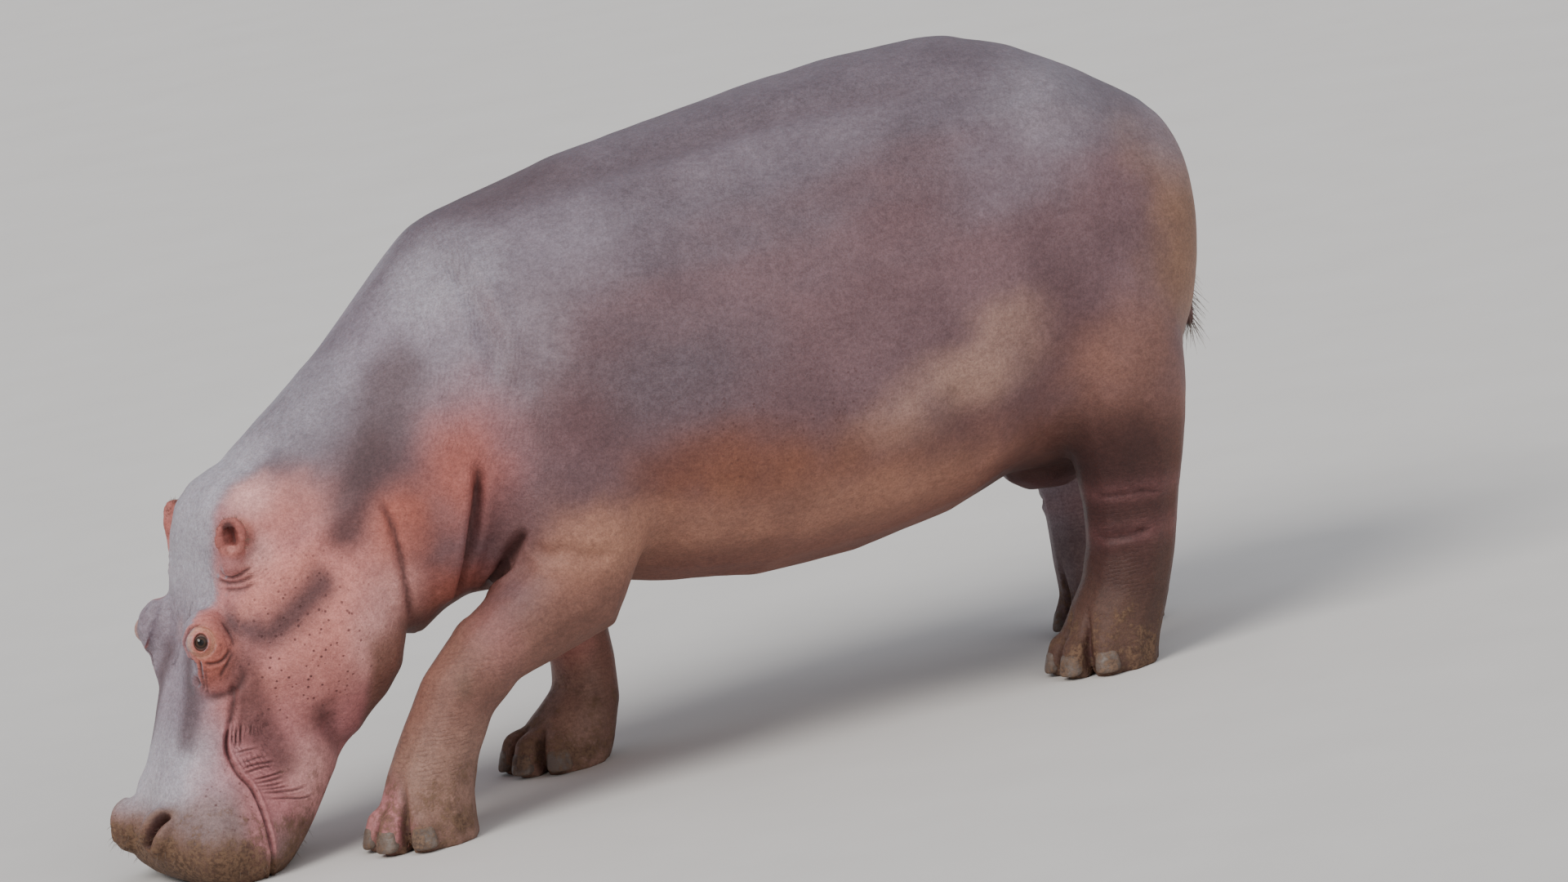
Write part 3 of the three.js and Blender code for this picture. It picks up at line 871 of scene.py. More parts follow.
def make_nails(foot):
    """The four nails of a foot: blunt shields, bent round the toes."""
    block = bmesh.new()
    bmesh.ops.create_cube(block, size=2)
    bmesh.ops.subdivide_edges(block, edges=block.edges, cuts=NAIL_CUTS, use_grid_fill=True)
    cube = np.array([v.co[:] for v in block.verts])
    faces = [[v.index for v in f.verts] for f in block.faces]
    block.free()
    form = cube / (np.abs(cube) ** NAIL_SQUARE).sum(1)[:, None] ** (1 / NAIL_SQUARE)
    points, all_faces = [], []
    for number, degrees in enumerate(NAIL_ANGLES, 1):
        angle = math.radians(degrees) * foot_side(foot)
        out = np.array([math.cos(angle), math.sin(angle), 0])
        aside = np.array([-math.sin(angle), math.cos(angle), 0])
        up = np.array([0, 0, 1])
        a, b, c = form[:, 0] * NAIL["thick"], form[:, 1] * NAIL["wide"], form[:, 2] * NAIL["high"]
        b = b * (1 - NAIL["taper"] * form[:, 2])
        a = a - b**2 / (2 * NAIL["bend"]) - NAIL["tilt"] * c
        middle = nail_middle(foot, number) + out * NAIL["proud"]
        all_faces += [[i + len(points) * len(form) for i in face] for face in faces]
        points.append(middle + a[:, None] * out + b[:, None] * aside + c[:, None] * up)
    mesh = turned_mesh(foot.replace("foot", "nails"), np.concatenate(points), all_faces)
    return new_object(mesh.name, mesh)


# ---- the hide's colours ----
SLATE = (0.135, 0.112, 0.133)
# the hide's own pale grey, with painted sheen in it
PALE_SLATE_SHEEN = (0.290, 0.265, 0.300)
# painted sheen, the palest, on the forehead and the bridge of the snout
PAINTED_SHEEN = (0.430, 0.405, 0.445)
STONE = (0.245, 0.208, 0.245)
MAUVE = (0.165, 0.095, 0.103)
DUSK = (0.078, 0.042, 0.046)
WINE = (0.110, 0.042, 0.041)
SALMON = (0.560, 0.215, 0.180)
ROSE = (0.420, 0.170, 0.172)
RUST = (0.370, 0.104, 0.070)
OCHRE = (0.230, 0.088, 0.050)
BARK = (0.165, 0.060, 0.040)
CLAY = (0.400, 0.195, 0.130)
OLIVE = (0.280, 0.150, 0.088)
TAUPE = (0.205, 0.096, 0.070)
ASH = (0.190, 0.130, 0.120)
UMBER = (0.048, 0.018, 0.016)
EARTH = (0.115, 0.062, 0.042)
LOAM = (0.150, 0.075, 0.043)
LILAC = (0.345, 0.245, 0.270)
LID = (0.520, 0.270, 0.185)
BLUSH = (0.690, 0.365, 0.335)
BUFF = (0.400, 0.240, 0.185)

# Each row: the colour, its share, the middle and the reach, in millimetres.
BODY_WASHES = [
    (STONE, 0.55, (-640, 380, 1150), (240, 200, 150)),  # hip
    # pale slate with painted sheen, on the croup
    (PALE_SLATE_SHEEN, 0.45, (-860, 290, 1290), (240, 300, 150)),
    (DUSK, 0.25, (-120, 240, 1290), (420, 240, 110)),  # back
    (DUSK, 0.5, (400, 60, 1320), (260, 170, 90)),
    (WINE, 0.35, (-400, 340, 1180), (300, 160, 120)),  # upper flank
    (STONE, 0.5, (380, 250, 1180), (280, 220, 170)),  # behind the shoulders
    (STONE, 0.4, (-150, 250, 1290), (330, 200, 120)),  # back
    (DUSK, 0.4, (330, 370, 900), (240, 200, 170)),
    (SLATE, 0.6, (200, 370, 900), (300, 200, 170)),  # behind the shoulder
    (WINE, 0.35, (470, 378, 820), (160, 160, 130)),  # shoulder
    # pale slate with painted sheen, on the shoulder
    (PALE_SLATE_SHEEN, 0.35, (560, 300, 1030), (200, 170, 180)),
    (BUFF, 0.8, (-450, 440, 740), (230, 150, 90)),  # flank, before the thigh
    (BUFF, 0.65, (-560, 434, 830), (150, 150, 100)),
    (BUFF, 0.5, (-254, 437, 665), (170, 150, 80)),
    (BARK, 0.85, (170, 420, 680), (300, 200, 120)),  # flank over the belly
    (OCHRE, 0.6, (-40, 420, 620), (400, 200, 100)),
    (CLAY, 0.6, (-180, 360, 530), (430, 260, 100)),  # belly
    (CLAY, 0.55, (300, 330, 550), (260, 260, 100)),
    (WINE, 0.35, (-700, 420, 760), (150, 150, 190)),  # flank's hollow
    (OLIVE, 0.8, (-1110, 330, 900), (220, 330, 420)),  # rump
    (STONE, 0.55, (-1110, 260, 1150), (150, 220, 170)),  # rump, near its top
    (TAUPE, 0.8, (-850, 391, 680), (220, 160, 170)),  # thigh
    (UMBER, 0.85, (-790, 391, 500), (220, 160, 140)),
    # painted shade inside the thigh, where it meets the belly
    (UMBER, 0.97, (-740, 290, 420), (170, 150, 140)),  # inside the thigh
    (STONE, 0.95, (770, 170, 1030), (400, 260, 270)),  # neck and shoulder
    # pale slate with painted sheen, on the front of the shoulder and the neck's top
    (PALE_SLATE_SHEEN, 0.85, (622, 140, 1170), (190, 190, 130)),  # front of the shoulder
    (PALE_SLATE_SHEEN, 0.95, (950, 70, 950), (210, 150, 190)),  # neck's top
    (ROSE, 0.6, (690, 300, 800), (150, 190, 210)),
    (RUST, 0.7, (715, 300, 770), (130, 170, 170)),  # neck's side, before the shoulder
    (RUST, 0.95, (850, 262, 690), (140, 170, 150)),  # throat
    (WINE, 0.4, (800, 262, 640), (120, 170, 120)),
    (WINE, 0.55, (640, 285, 660), (100, 120, 130)),  # armpit
    (RUST, 0.8, (740, 190, 520), (140, 220, 100)),  # chest
    (CLAY, 0.8, (450, 390, 560), (180, 150, 130)),  # upper foreleg
]
HEAD_WASHES = [
    (SALMON, 0.97, (190, 240, -240), (340, 230, 300)),  # cheek
    (SALMON, 0.85, (-30, 200, -110), (140, 140, 130)),  # behind the ear
    (BLUSH, 0.85, (-38, 140, -75), (90, 90, 80)),  # before the ear
    # painted highlight on the cheekbone, in pink
    (SALMON, 0.9, (110, 210, -125), (70, 90, 85)),  # cheekbone
    # painted light on the back edge of the cheek, over its pink
    (BLUSH, 0.75, (210, 240, -390), (190, 120, 120)),  # back of the cheek
    (ROSE, 0.85, (520, 170, -210), (140, 110, 120)),  # corner of the mouth
    (BLUSH, 0.7, (530, 150, -320), (130, 160, 110)),  # lower jaw
    (ASH, 0.8, (700, 190, -290), (110, 160, 110)),  # lower lip
    (RUST, 0.85, (300, 165, -40), (120, 60, 70)),  # eye's mound
    # painted shade under the cheek, in the crease over the jaw
    (WINE, 0.6, (400, 190, -300), (80, 110, 60)),  # under the cheek
    (BLUSH, 0.7, (80, 205, -90), (60, 60, 60)),  # before the cheekbone
]
# Each row: the colour, its share, its width, and the places that it runs through, in millimetres.
HEAD_BANDS = [
    # behind the eye: painted shade in the hollow under the cheekbone
    (DUSK, 0.85, 56, [(236, 176, -75), (251, 210, -140), (180, 226, -196), (130, 225, -236)]),
    # below the eye: painted shade under the eye's mound
    (UMBER, 0.6, 56, [(319, 181, -107), (402, 174, -143), (467, 167, -186), (520, 165, -243)]),
    # side of the face
    (DUSK, 0.72, 46, [(330, 62, -28), (389, 84, -38), (440, 90, -42), (500, 92, -38)]),
    (BLUSH, 0.6, 26, [(262, 20, -10), (286, 14, -12)]),  # between the eyes
    # painted highlight along the cheekbone's ridge, in pink
    (SALMON, 0.75, 34, [(208, 186, -85), (137, 212, -138), (57, 208, -201)]),  # cheekbone
    # painted shade in the crease under the cheek
    (WINE, 0.5, 34, [(400, 190, -300), (430, 165, -330), (450, 120, -350)]),  # under the cheek
    # along the mouth
    (ROSE, 0.75, 22,
     [(470, 154, -112), (521, 153, -119), (581, 174, -173), (650, 200, -206), (700, 214, -222)]),
]
NECK_BANDS = [
    # painted shade down the neck's side, behind the cheek, in both rows
    (DUSK, 0.75, 118, [(790, 205, 985), (840, 230, 895), (870, 240, 850)]),  # neck's side
    (DUSK, 0.85, 78, [(870, 240, 850), (930, 240, 770), (965, 236, 700)]),
]


WASH_FADE = (0.15, 1.12)  # a wash fades out between these shares of its reach


def shared(points, place, reach, edge):
    """1 at a place, falling to 0 at its reach, with an uneven edge."""
    return 1 - ramp(np.linalg.norm((points - place) / reach, axis=1) + edge, *WASH_FADE)


class Paint:
    """The hide's colour at each of its points, while wash is laid over wash, and what the washes go by.

    body and head hold places in millimetres, both folded over to the left side.
    """

    def __init__(self, hide):
        self.co, self.normal = hide.co, hide.normal
        folded = folded_over(hide.co)
        self.body = folded / MM
        self.x, self.y, self.z = self.body.T
        self.l, _, self.k = head_places(folded)
        self.head = np.stack([self.l, self.y, self.k], 1)
        self.rough = noise(self.co, 0.07, 11) + 0.5 * noise(self.co, 0.03, 12)
        self.edge = 0.13 * self.rough + 0.15 * noise(self.co, 0.17, 13)
        self.on_head = head_share(self.co)
        lower_leg = 1 - ramp(self.z + 25 * self.rough, 420, 560)
        self.foreleg = lower_leg * ramp(self.x, 250, 330) * (1 - self.on_head)
        self.hindleg = lower_leg * (1 - ramp(self.x, -600, -480))
        self.colour = np.tile(MAUVE, (len(self.co), 1))

    def lay(self, wash, share):
        self.colour += np.clip(share, 0, 1)[:, None] * (np.array(wash) - self.colour)


def paint_body(paint):
    """Painted sky sheen in slate on what faces up, ochre below, and the body's own washes over them."""
    upward = paint.normal[:, 2]
    # painted sky sheen: a bluish slate on what faces up, high on the body
    paint.lay(SLATE, 0.9 * ramp(upward + 0.2 * paint.edge, 0.2, 0.75) * ramp(paint.z, 700, 900))
    low = 1 - ramp(paint.z + 30 * paint.rough, 480, 780)
    paint.lay(OCHRE, 0.7 * low * (1 - ramp(paint.x, 540, 680)))
    for wash, share, place, reach in BODY_WASHES:
        paint.lay(wash, share * shared(paint.body, place, reach, paint.edge))


def paint_head(paint):
    paint.lay(ROSE, 0.9 * paint.on_head * ramp(paint.l, -60, 60))
    for wash, share, place, reach in HEAD_WASHES:
        paint.lay(wash, share * shared(paint.head, place, reach, paint.edge))


def paint_face(paint):
    """The pale front of the face, from the poll down to the nostrils, with painted sheen near the poll."""
    l, y, k = paint.l, paint.y, paint.k
    narrowed = y + 12 * paint.rough + 26 * (1 - ramp(l, -40, 110))
    front = paint.on_head * (1 - ramp(narrowed, 95, 150)) * ramp(k, -150, -80)
    # from the eyes down, also what faces forwards or to the head's middle
    inward = paint.normal @ OUT_OF_FACE * 0.75 - np.sign(paint.co[:, 1]) * paint.normal[:, 1] * 0.66
    from_eyes = ramp(l, 110, 180) * paint.on_head
    front = np.maximum(front, from_eyes * ramp(inward, 0.3, 0.55) * ramp(k, -90, -50))
    front = front * (1 - ramp(l, 620, 700))
    paint.lay(STONE, 0.94 * front)
    # painted sheen near the poll: pale slate and the palest sheen over it
    paint.lay(PALE_SLATE_SHEEN, 0.85 * front * (1 - ramp(l, 100, 300)))
    paint.lay(PAINTED_SHEEN, 0.45 * front * (1 - ramp(l, 120, 300)))


def paint_snout(paint):
    """Lilac sides, an ashen front and painted sheen on the bridge."""
    l, k, rough, on_head = paint.l, paint.k, paint.rough, paint.on_head
    sides = ramp(k + 0.15 * (l - 500) + 12 * rough, -150, -70) * ramp(l, 400, 500) * on_head
    paint.lay(LILAC, 0.8 * sides * ramp(paint.y, 100, 150))
    paint.lay(ASH, 0.85 * on_head * ramp(l + 20 * rough, 560, 660) * ramp(k, -200, -130))
    # painted sheen along the bridge of the snout
    bridge_sheen = 0.7 * on_head * ramp(l, 440, 540) * (1 - ramp(l, 620, 710))
    paint.lay(PAINTED_SHEEN, bridge_sheen * (1 - ramp(paint.y + 12 * rough, 100, 165)) * ramp(k, -120, -60))


def paint_bands(paint):
    for bands, where, share_of in ((HEAD_BANDS, paint.head, paint.on_head), (NECK_BANDS, paint.body, 1)):
        for wash, share, width, places in bands:
            away = along_path(where, rounded(places))[0] / width
            paint.lay(wash, share * share_of * (1 - ramp(away + paint.edge, *WASH_FADE)))


def paint_ears(paint):
    """Rusty ears, with painted shade in the hollow and pink at the knob before the opening."""
    ears = near_head_forms(paint.co, [EAR], 0.062)
    paint.lay(RUST, 0.6 * ramp(ears, 0.35, 0.6))
    hollow = near_head_forms(paint.co, [(38, 198, -14), (52, 200, -19), (66, 199, -25)], 0.017)
    # painted shade in the ear's hollow
    paint.lay(np.array(WINE) * 0.75, 0.85 * ramp(hollow, 0.2, 0.8))
    knob = near_head_forms(paint.co, [(84, 198, -30)], 0.012)
    paint.lay(SALMON, 0.8 * ramp(knob, 0.3, 0.8))


def paint_muzzle(paint):
    """Earth on the muzzle and the chin, darkest at the lips, and painted shade in the nostrils' slots."""
    down_face = paint.l + 30 * paint.rough
    paint.lay(LOAM, 0.85 * paint.on_head * ramp(down_face, 670, 750))
    paint.lay(LOAM, 0.7 * paint.on_head * ramp(down_face, 600, 680) * (1 - ramp(paint.k, -300, -240)))
    paint.lay(UMBER, 0.6 * paint.on_head * ramp(down_face, 745, 810))
    outside = ramp(paint.k, -60, -30)
    for side in SIDES:
        line = np.array([(l, side * y) for l, y in NOSTRIL]) * MM
        away = along_path(np.stack([paint.l * MM, paint.co[:, 1]], 1), line)[0]
        paint.lay(LOAM, 0.9 * bell(away, 0.02) * outside)
        # painted shade in the nostril's slot
        paint.lay(UMBER, 0.95 * bell(away, 0.006) * outside)


def paint_lids(paint):
    """A pale ring on the lids, round each eye."""
    for side in SIDES:
        middle, aside, up, out = eye_axes(side)
        away = paint.co - middle
        rim = np.hypot(away @ aside / 0.026, away @ up / 0.029)
        near = np.linalg.norm(away, axis=1) < 0.05
        paint.lay(LID, 0.65 * bell(rim - 1, 0.22) * ramp(away @ out, 0, 0.01) * near)


def paint_legs(paint):
    """The lower legs. The right ones differ: they are pinker in front and greyer behind."""
    fore, hind, z = paint.foreleg, paint.hindleg, paint.z
    left, right = paint.co[:, 1] > 0, paint.co[:, 1] < 0
    paint.lay(TAUPE, 0.93 * fore)
    paint.lay(ROSE, 0.3 * fore * shared(paint.body, (700, 330, 440), (90, 90, 150), paint.edge))
    paint.lay(BUFF, 0.5 * fore * (1 - ramp(z, 160, 300)))
    paint.lay(SALMON, 0.85 * fore * right * ramp(z, 180, 300))
    paint.lay(UMBER, 0.93 * hind * left)
    paint.lay(STONE, 0.8 * hind * right)
    paint.lay(OCHRE, 0.3 * hind * (1 - ramp(paint.x, -960, -870)))
    paint.lay(ROSE, 0.18 * hind * (bell(z - 392, 26) + bell(z - 298, 28)))  # on the heel's folds


def paint_earth(paint):
    """Earth on the wrists and the feet."""
    wrist = shared(paint.body, (800, 350, 330), (26, 60, 46), 2 * paint.edge)
    paint.lay(EARTH, 0.7 * wrist)
    low = 1 - ramp(paint.z + 50 * paint.rough, 100, 330)
    paint.lay(EARTH, (0.6 - 0.2 * paint.foreleg) * low * (1 - paint.on_head))


def hide_colours(hide):
    """The hide's colour at each of its points. The later a wash comes, the more it covers."""
    paint = Paint(hide)
    paint_body(paint)
    paint_head(paint)
    paint_face(paint)
    paint_snout(paint)
    paint_bands(paint)
    paint_ears(paint)
    paint_muzzle(paint)
    paint_lids(paint)
    paint_legs(paint)
    paint_earth(paint)
    fold = np.array([a.value for a in hide.mesh.attributes["fold"].data])
    # painted shade in the depth of the folds, from the fold attribute
    paint.lay(np.array(WINE) * 0.6, 0.75 * fold)
    return paint.colour


def hide_mud(hide):
    """How much mud lies on each point of the hide: most at the feet and the lips."""
    z = hide.co[:, 2] / MM
    l = head_places(hide.co)[0]
    lips = 0.95 * head_share(hide.co) * ramp(l, 610, 770)
    return np.maximum(0.75 * (1 - ramp(z, 20, 360)), lips)


def hide_waves(hide):
    """Fine wrinkles: a distance across them, in millimetres, and how deep they are."""
    co = hide.co
    x, _, z = co.T / MM
    l, y, k = head_places(co)
    on_head = head_share(co)
    # level ones on the lower legs
    across = z.copy()
    deep = 0.4 * (1 - ramp(z, 330, 520)) * ramp(z, 90, 140) * (1 - on_head)

    def add(distance, share):
        """Takes these wrinkles where they are deeper than those already there."""
        across[:] = np.where(share > deep, distance, across)
        deep[:] = np.maximum(share, deep)

    # in arcs under the mouth line, round a place in the jaw
    corner = np.hypot(l - 425, k + 246)
    below = np.interp(l, [row[0] for row in MOUTH_LINE], [row[2] for row in MOUTH_LINE]) - k
    fan = ramp(below, 0, 12) * (1 - ramp(below, 50, 130))
    fan = fan * ramp(corner, 40, 70) * (1 - ramp(corner, 130, 175))
    add(corner, fan * ramp(np.abs(y), 90, 130) * ramp(l, 430, 470) * on_head)
    # in rings round the eyes and behind the ears
    for side in SIDES:
        middle, aside, up, _ = eye_axes(side)
        u, v = (co - middle) @ aside / MM, (co - middle) @ up / MM
        ring = np.hypot(u - 8, (v + 8) / 1.25)
        near = (np.linalg.norm(co - middle, axis=1) < 0.14) * ramp(ring, 30, 40) * (1 - ramp(ring, 65, 95))
        add(ring, 0.55 * near)
        ear = np.linalg.norm(co - head_point(60, side * 186, -40), axis=1) / MM
        add(ear, 0.6 * ramp(ear, 62, 72) * (1 - ramp(ear, 95, 130)) * ramp(l, 70, 110))
    # slanting down the shoulder
    shoulder = (1 - ramp(np.abs(x - 640), 60, 190)) * ramp(z, 600, 900)
    add(x + 0.35 * z, shoulder * 0.35)
    return across, deep


def hide_spots(hide):
    """Where the hide has dark pores: the cheek most, and the flank a little."""
    folded = folded_over(hide.co)
    head = np.stack(head_places(folded), 1)
    cheek = shared(head, (280, 230, -220), (300, 260, 260), 0)
    snout = 0.8 * shared(head, (600, 190, -120), (150, 90, 110), 0)
    flank = 0.55 * shared(folded / MM, (0, 440, 760), (480, 200, 200), 0)
    return np.maximum(np.maximum(cheek, snout), flank)


# ---- materials ----
class Maker:
    """Places the nodes of a material or a group and joins them.

    An input is named by its socket, with _ for a space, or by n and its number where several share a name.
    """

    def __init__(self, tree):
        self.tree = tree

    def node(self, kind, settings=None, **inputs):
        made = self.tree.nodes.new(kind)
        for name, value in (settings or {}).items():
            setattr(made, name, value)
        for name, value in inputs.items():
            by_number = name[0] == "n" and name[1:].isdigit()
            self.feed(made.inputs[int(name[1:]) if by_number else name.replace("_", " ")], value)
        return made

    def feed(self, socket, value):
        if isinstance(value, bpy.types.NodeSocket):
            self.tree.links.new(value, socket)
        else:
            socket.default_value = value

    def math(self, operation, a, b=0.0, limit=False):
        made = self.node("ShaderNodeMath", {"operation": operation, "use_clamp": limit}, n0=a, n1=b)
        return made.outputs[0]

    def times(self, a, b):
        return self.math("MULTIPLY", a, b)

    def plus(self, a, b):
        return self.math("ADD", a, b)

    def minus(self, a, b):
        return self.math("SUBTRACT", a, b)

    def noise(self, place, scale, detail=4.0, roughness=0.55):
        inputs = {"Vector": place, "Scale": scale, "Detail": detail, "Roughness": roughness}
        return self.node("ShaderNodeTexNoise", None, **inputs).outputs[0]

    def steps(self, value, low, high, to_low=0.0, to_high=1.0):
        """From one value to the other while the given value goes from low to high."""
        settings = {"interpolation_type": "SMOOTHSTEP"}
        made = self.node("ShaderNodeMapRange", settings, n0=value, n1=low, n2=high, n3=to_low, n4=to_high)
        return made.outputs[0]

    def mixed(self, share, a, b, blend="MIX"):
        """A mix of two colours. The mix node's colours are its inputs 6 and 7 and its output 2."""
        settings = {"data_type": "RGBA", "blend_type": blend}
        return self.node("ShaderNodeMix", settings, n0=share, n6=a, n7=b).outputs[2]

    def turned(self, place, turn=(0, 0, 0), scale=(1, 1, 1)):
        return self.node("ShaderNodeMapping", None, Vector=place, Rotation=turn, Scale=scale).outputs[0]

    def value(self, name):
        return self.node("ShaderNodeAttribute", {"attribute_name": name}).outputs["Fac"]

    def colour(self, name):
        return self.node("ShaderNodeAttribute", {"attribute_name": name}).outputs["Color"]

    def place(self):
        return self.node("ShaderNodeTexCoord").outputs["Object"]


def add_sockets(tree, inputs, outputs):
    for label, kind, value in inputs:
        socket = tree.interface.new_socket(name=label, in_out="INPUT", socket_type=kind)
        if value is not None:
            socket.default_value = value
    for label, kind in outputs:
        tree.interface.new_socket(name=label, in_out="OUTPUT", socket_type=kind)


def new_group(name, inputs, outputs):
    """A shader group. Each input is given by its label, kind and value, and each output by label and kind."""
    group = bpy.data.node_groups.new(name, "ShaderNodeTree")
    add_sockets(group, inputs, outputs)
    make = Maker(group)
    return group, make, make.node("NodeGroupInput").outputs, make.node("NodeGroupOutput")


DAMP_MUD = (0.060, 0.031, 0.019, 1)
DRY_MUD = (0.170, 0.098, 0.058, 1)


def mud_group():
    """Dried mud: where it lies, its colour and how it roughens."""
    group, make, given, out = new_group(
        "mud",
        [("Place", "NodeSocketVector", None), ("Cover", "NodeSocketFloat", 0.5)],
        [("Mask", "NodeSocketFloat"), ("Colour", "NodeSocketColor"), ("Height", "NodeSocketFloat")],
    )
    patches = make.noise(given["Place"], 17.0, 8.0, 0.66)
    crumbs = make.noise(given["Place"], 110.0, 5.0, 0.65)
    worn = make.plus(make.times(patches, 0.7), make.times(crumbs, 0.3))
    threshold = make.minus(0.78, make.times(given["Cover"], 0.4))
    mask = make.times(make.steps(make.minus(worn, threshold), -0.07, 0.09), 0.85)
    thickness = make.plus(make.times(crumbs, 0.0014), 0.0006)
    make.feed(out.inputs["Mask"], mask)
    make.feed(out.inputs["Colour"], make.mixed(make.steps(crumbs, 0.36, 0.62), DAMP_MUD, DRY_MUD))
    make.feed(out.inputs["Height"], make.times(mask, thickness))
    return group


def grain_group():
    """Wrinkled hide: mottling, specks, the cracks of its grain, and its height in metres."""
    group, make, given, out = new_group(
        "hide grain",
        [("Place", "NodeSocketVector", None), ("Size", "NodeSocketFloat", 1.0)],
        [
            ("Mottle", "NodeSocketFloat"),
            ("Speckle", "NodeSocketFloat"),
            ("Cracks", "NodeSocketFloat"),
            ("Height", "NodeSocketFloat"),
        ],
    )
    scaled = {"operation": "SCALE"}
    place = make.node("ShaderNodeVectorMath", scaled, Vector=given["Place"], Scale=given["Size"]).outputs[0]
    # the pattern's places are bent a little, so that nothing in it runs straight
    bend = make.node("ShaderNodeTexNoise", None, Vector=place, Scale=38.0, Detail=3.0).outputs["Color"]
    bend = make.node("ShaderNodeVectorMath", scaled, Vector=bend, Scale=0.009).outputs[0]
    bent = make.node("ShaderNodeVectorMath", {"operation": "ADD"}, n0=place, n1=bend).outputs[0]
    # cracks between the cells of the grain, in patches, and short strokes
    cells = make.node(
        "ShaderNodeTexVoronoi",
        {"feature": "DISTANCE_TO_EDGE"},
        Vector=make.turned(bent, (0, 0.6, 0), (1, 1, 0.5)),
        Scale=210.0,
    ).outputs["Distance"]
    patchy = make.steps(make.noise(place, 9.0, 4.0), 0.48, 0.72)
    cracks = make.times(make.steps(cells, 0.0, 0.12, 1.0, 0.0), patchy)
    strokes = make.noise(make.turned(bent, (0, 0.5, 0), (110, 120, 220)), 1.0, 3.0, 0.6)
    strokes = make.steps(strokes, 0.56, 0.7)
    cracks = make.math("MAXIMUM", make.times(cracks, 0.35), make.times(strokes, 0.25))
    # mottling, from broad to fine
    broad = make.noise(place, 6.0, 6.0, 0.6)
    streaks = make.noise(make.turned(bent, (0, 0.5, 0), (44, 60, 70)), 1.0, 6.0, 0.66)
    clouds = make.noise(bent, 100.0, 4.0, 0.65)
    specks = make.noise(bent, 240.0, 4.0, 0.7)
    fine = make.noise(place, 240.0, 3.0, 0.6)
    height = make.plus(make.times(streaks, 0.0009), make.times(fine, 0.0005))
    height = make.plus(height, make.times(specks, 0.0011))
    make.feed(out.inputs["Mottle"], make.plus(make.times(broad, 0.6), make.times(streaks, 0.4)))
    make.feed(out.inputs["Speckle"], make.plus(make.times(specks, 0.6), make.times(clouds, 0.4)))
    make.feed(out.inputs["Cracks"], cracks)
    make.feed(out.inputs["Height"], make.minus(height, make.times(cracks, 0.0005)))
    return group


MUD = mud_group()
GRAIN = grain_group()


def new_material(name, **constants):
    material = bpy.data.materials.new(name)
    material.use_nodes = True
    make = Maker(material.node_tree)
    shader = material.node_tree.nodes["Principled BSDF"]
    for label, value in constants.items():
        shader.inputs[label.replace("_", " ")].default_value = value
    return material, make, shader


def placed(make, group, **inputs):
    """The outputs of a shader group placed with these inputs."""
    return make.node("ShaderNodeGroup", {"node_tree": group}, **inputs).outputs


def bumped(make, height, distance=1.0):
    """A normal from a height, which is in metres where the distance is 1."""
    return make.node("ShaderNodeBump", None, Height=height, Distance=distance, Strength=1.0).outputs[0]


CRACK_COLOUR = (0.05, 0.026, 0.024, 1)
PORE_COLOUR = (0.075, 0.024, 0.024, 1)
WRINKLE_SHADE = (0.07, 0.03, 0.035, 1)
WRINKLE_PITCH = 9.5  # millimetres


def hide_pores(make, place):
    """Round dark pores where the skin's spots attribute wants them, with some left out."""
    cells = make.node("ShaderNodeTexVoronoi", None, Vector=place, Scale=66.0)
    chance = make.node("ShaderNodeSeparateColor", None, Color=cells.outputs["Color"]).outputs[0]
    sparse = make.steps(chance, 0.15, 0.3)
    pore = make.times(make.steps(cells.outputs["Distance"], 0.12, 0.26, 1.0, 0.0), sparse)
    return make.times(pore, make.value("spots"))


def hide_wrinkles(make, place):
    """Fine wrinkles by the skin's across and deep attributes, uneven and broken."""
    uneven = make.times(make.noise(place, 24.0, 5.0, 0.65), 19.0)
    phase = make.plus(make.times(make.value("across"), 2 * math.pi / WRINKLE_PITCH), uneven)
    wave = make.math("POWER", make.plus(0.5, make.times(make.math("SINE", phase), 0.5)), 3.0)
    wave = make.times(wave, make.steps(make.noise(place, 21.0, 2.0), 0.35, 0.65))
    return make.times(wave, make.value("deep"))


def hide_material():
    material, make, shader = new_material(
        "hide", Specular_IOR_Level=0.3, Subsurface_Weight=0.05, Subsurface_Scale=0.02
    )
    place = make.place()
    grain = placed(make, GRAIN, Place=place, Size=1.0)
    mud = placed(make, MUD, Place=place, Cover=make.value("mud"))
    pore = hide_pores(make, place)
    wrinkle = hide_wrinkles(make, place)
    broad = make.mixed(make.steps(grain["Mottle"], 0.3, 0.7), (0.78, 0.75, 0.76, 1), (1.2, 1.21, 1.2, 1))
    fine = make.mixed(make.steps(grain["Speckle"], 0.36, 0.64), (0.79, 0.76, 0.76, 1), (1.18, 1.19, 1.19, 1))
    colour = make.mixed(1.0, make.colour("tint"), make.mixed(1.0, broad, fine, "MULTIPLY"), "MULTIPLY")
    colour = make.mixed(make.times(grain["Cracks"], 0.5), colour, CRACK_COLOUR)
    colour = make.mixed(make.times(pore, 0.85), colour, PORE_COLOUR)
    # painted shade in the grooves of the fine wrinkles
    colour = make.mixed(make.times(wrinkle, 0.4), colour, WRINKLE_SHADE)
    make.feed(shader.inputs["Base Color"], make.mixed(mud["Mask"], colour, mud["Colour"]))
    rough = make.plus(0.42, make.times(grain["Mottle"], 0.22))
    rough = make.math("ADD", rough, make.times(mud["Mask"], 0.3), limit=True)
    make.feed(shader.inputs["Roughness"], rough)
    height = make.plus(grain["Height"], mud["Height"])
    height = make.minus(height, make.times(wrinkle, 0.0016))
    height = make.minus(height, make.times(pore, 0.0008))
    make.feed(shader.inputs["Normal"], bumped(make, height))
    return material


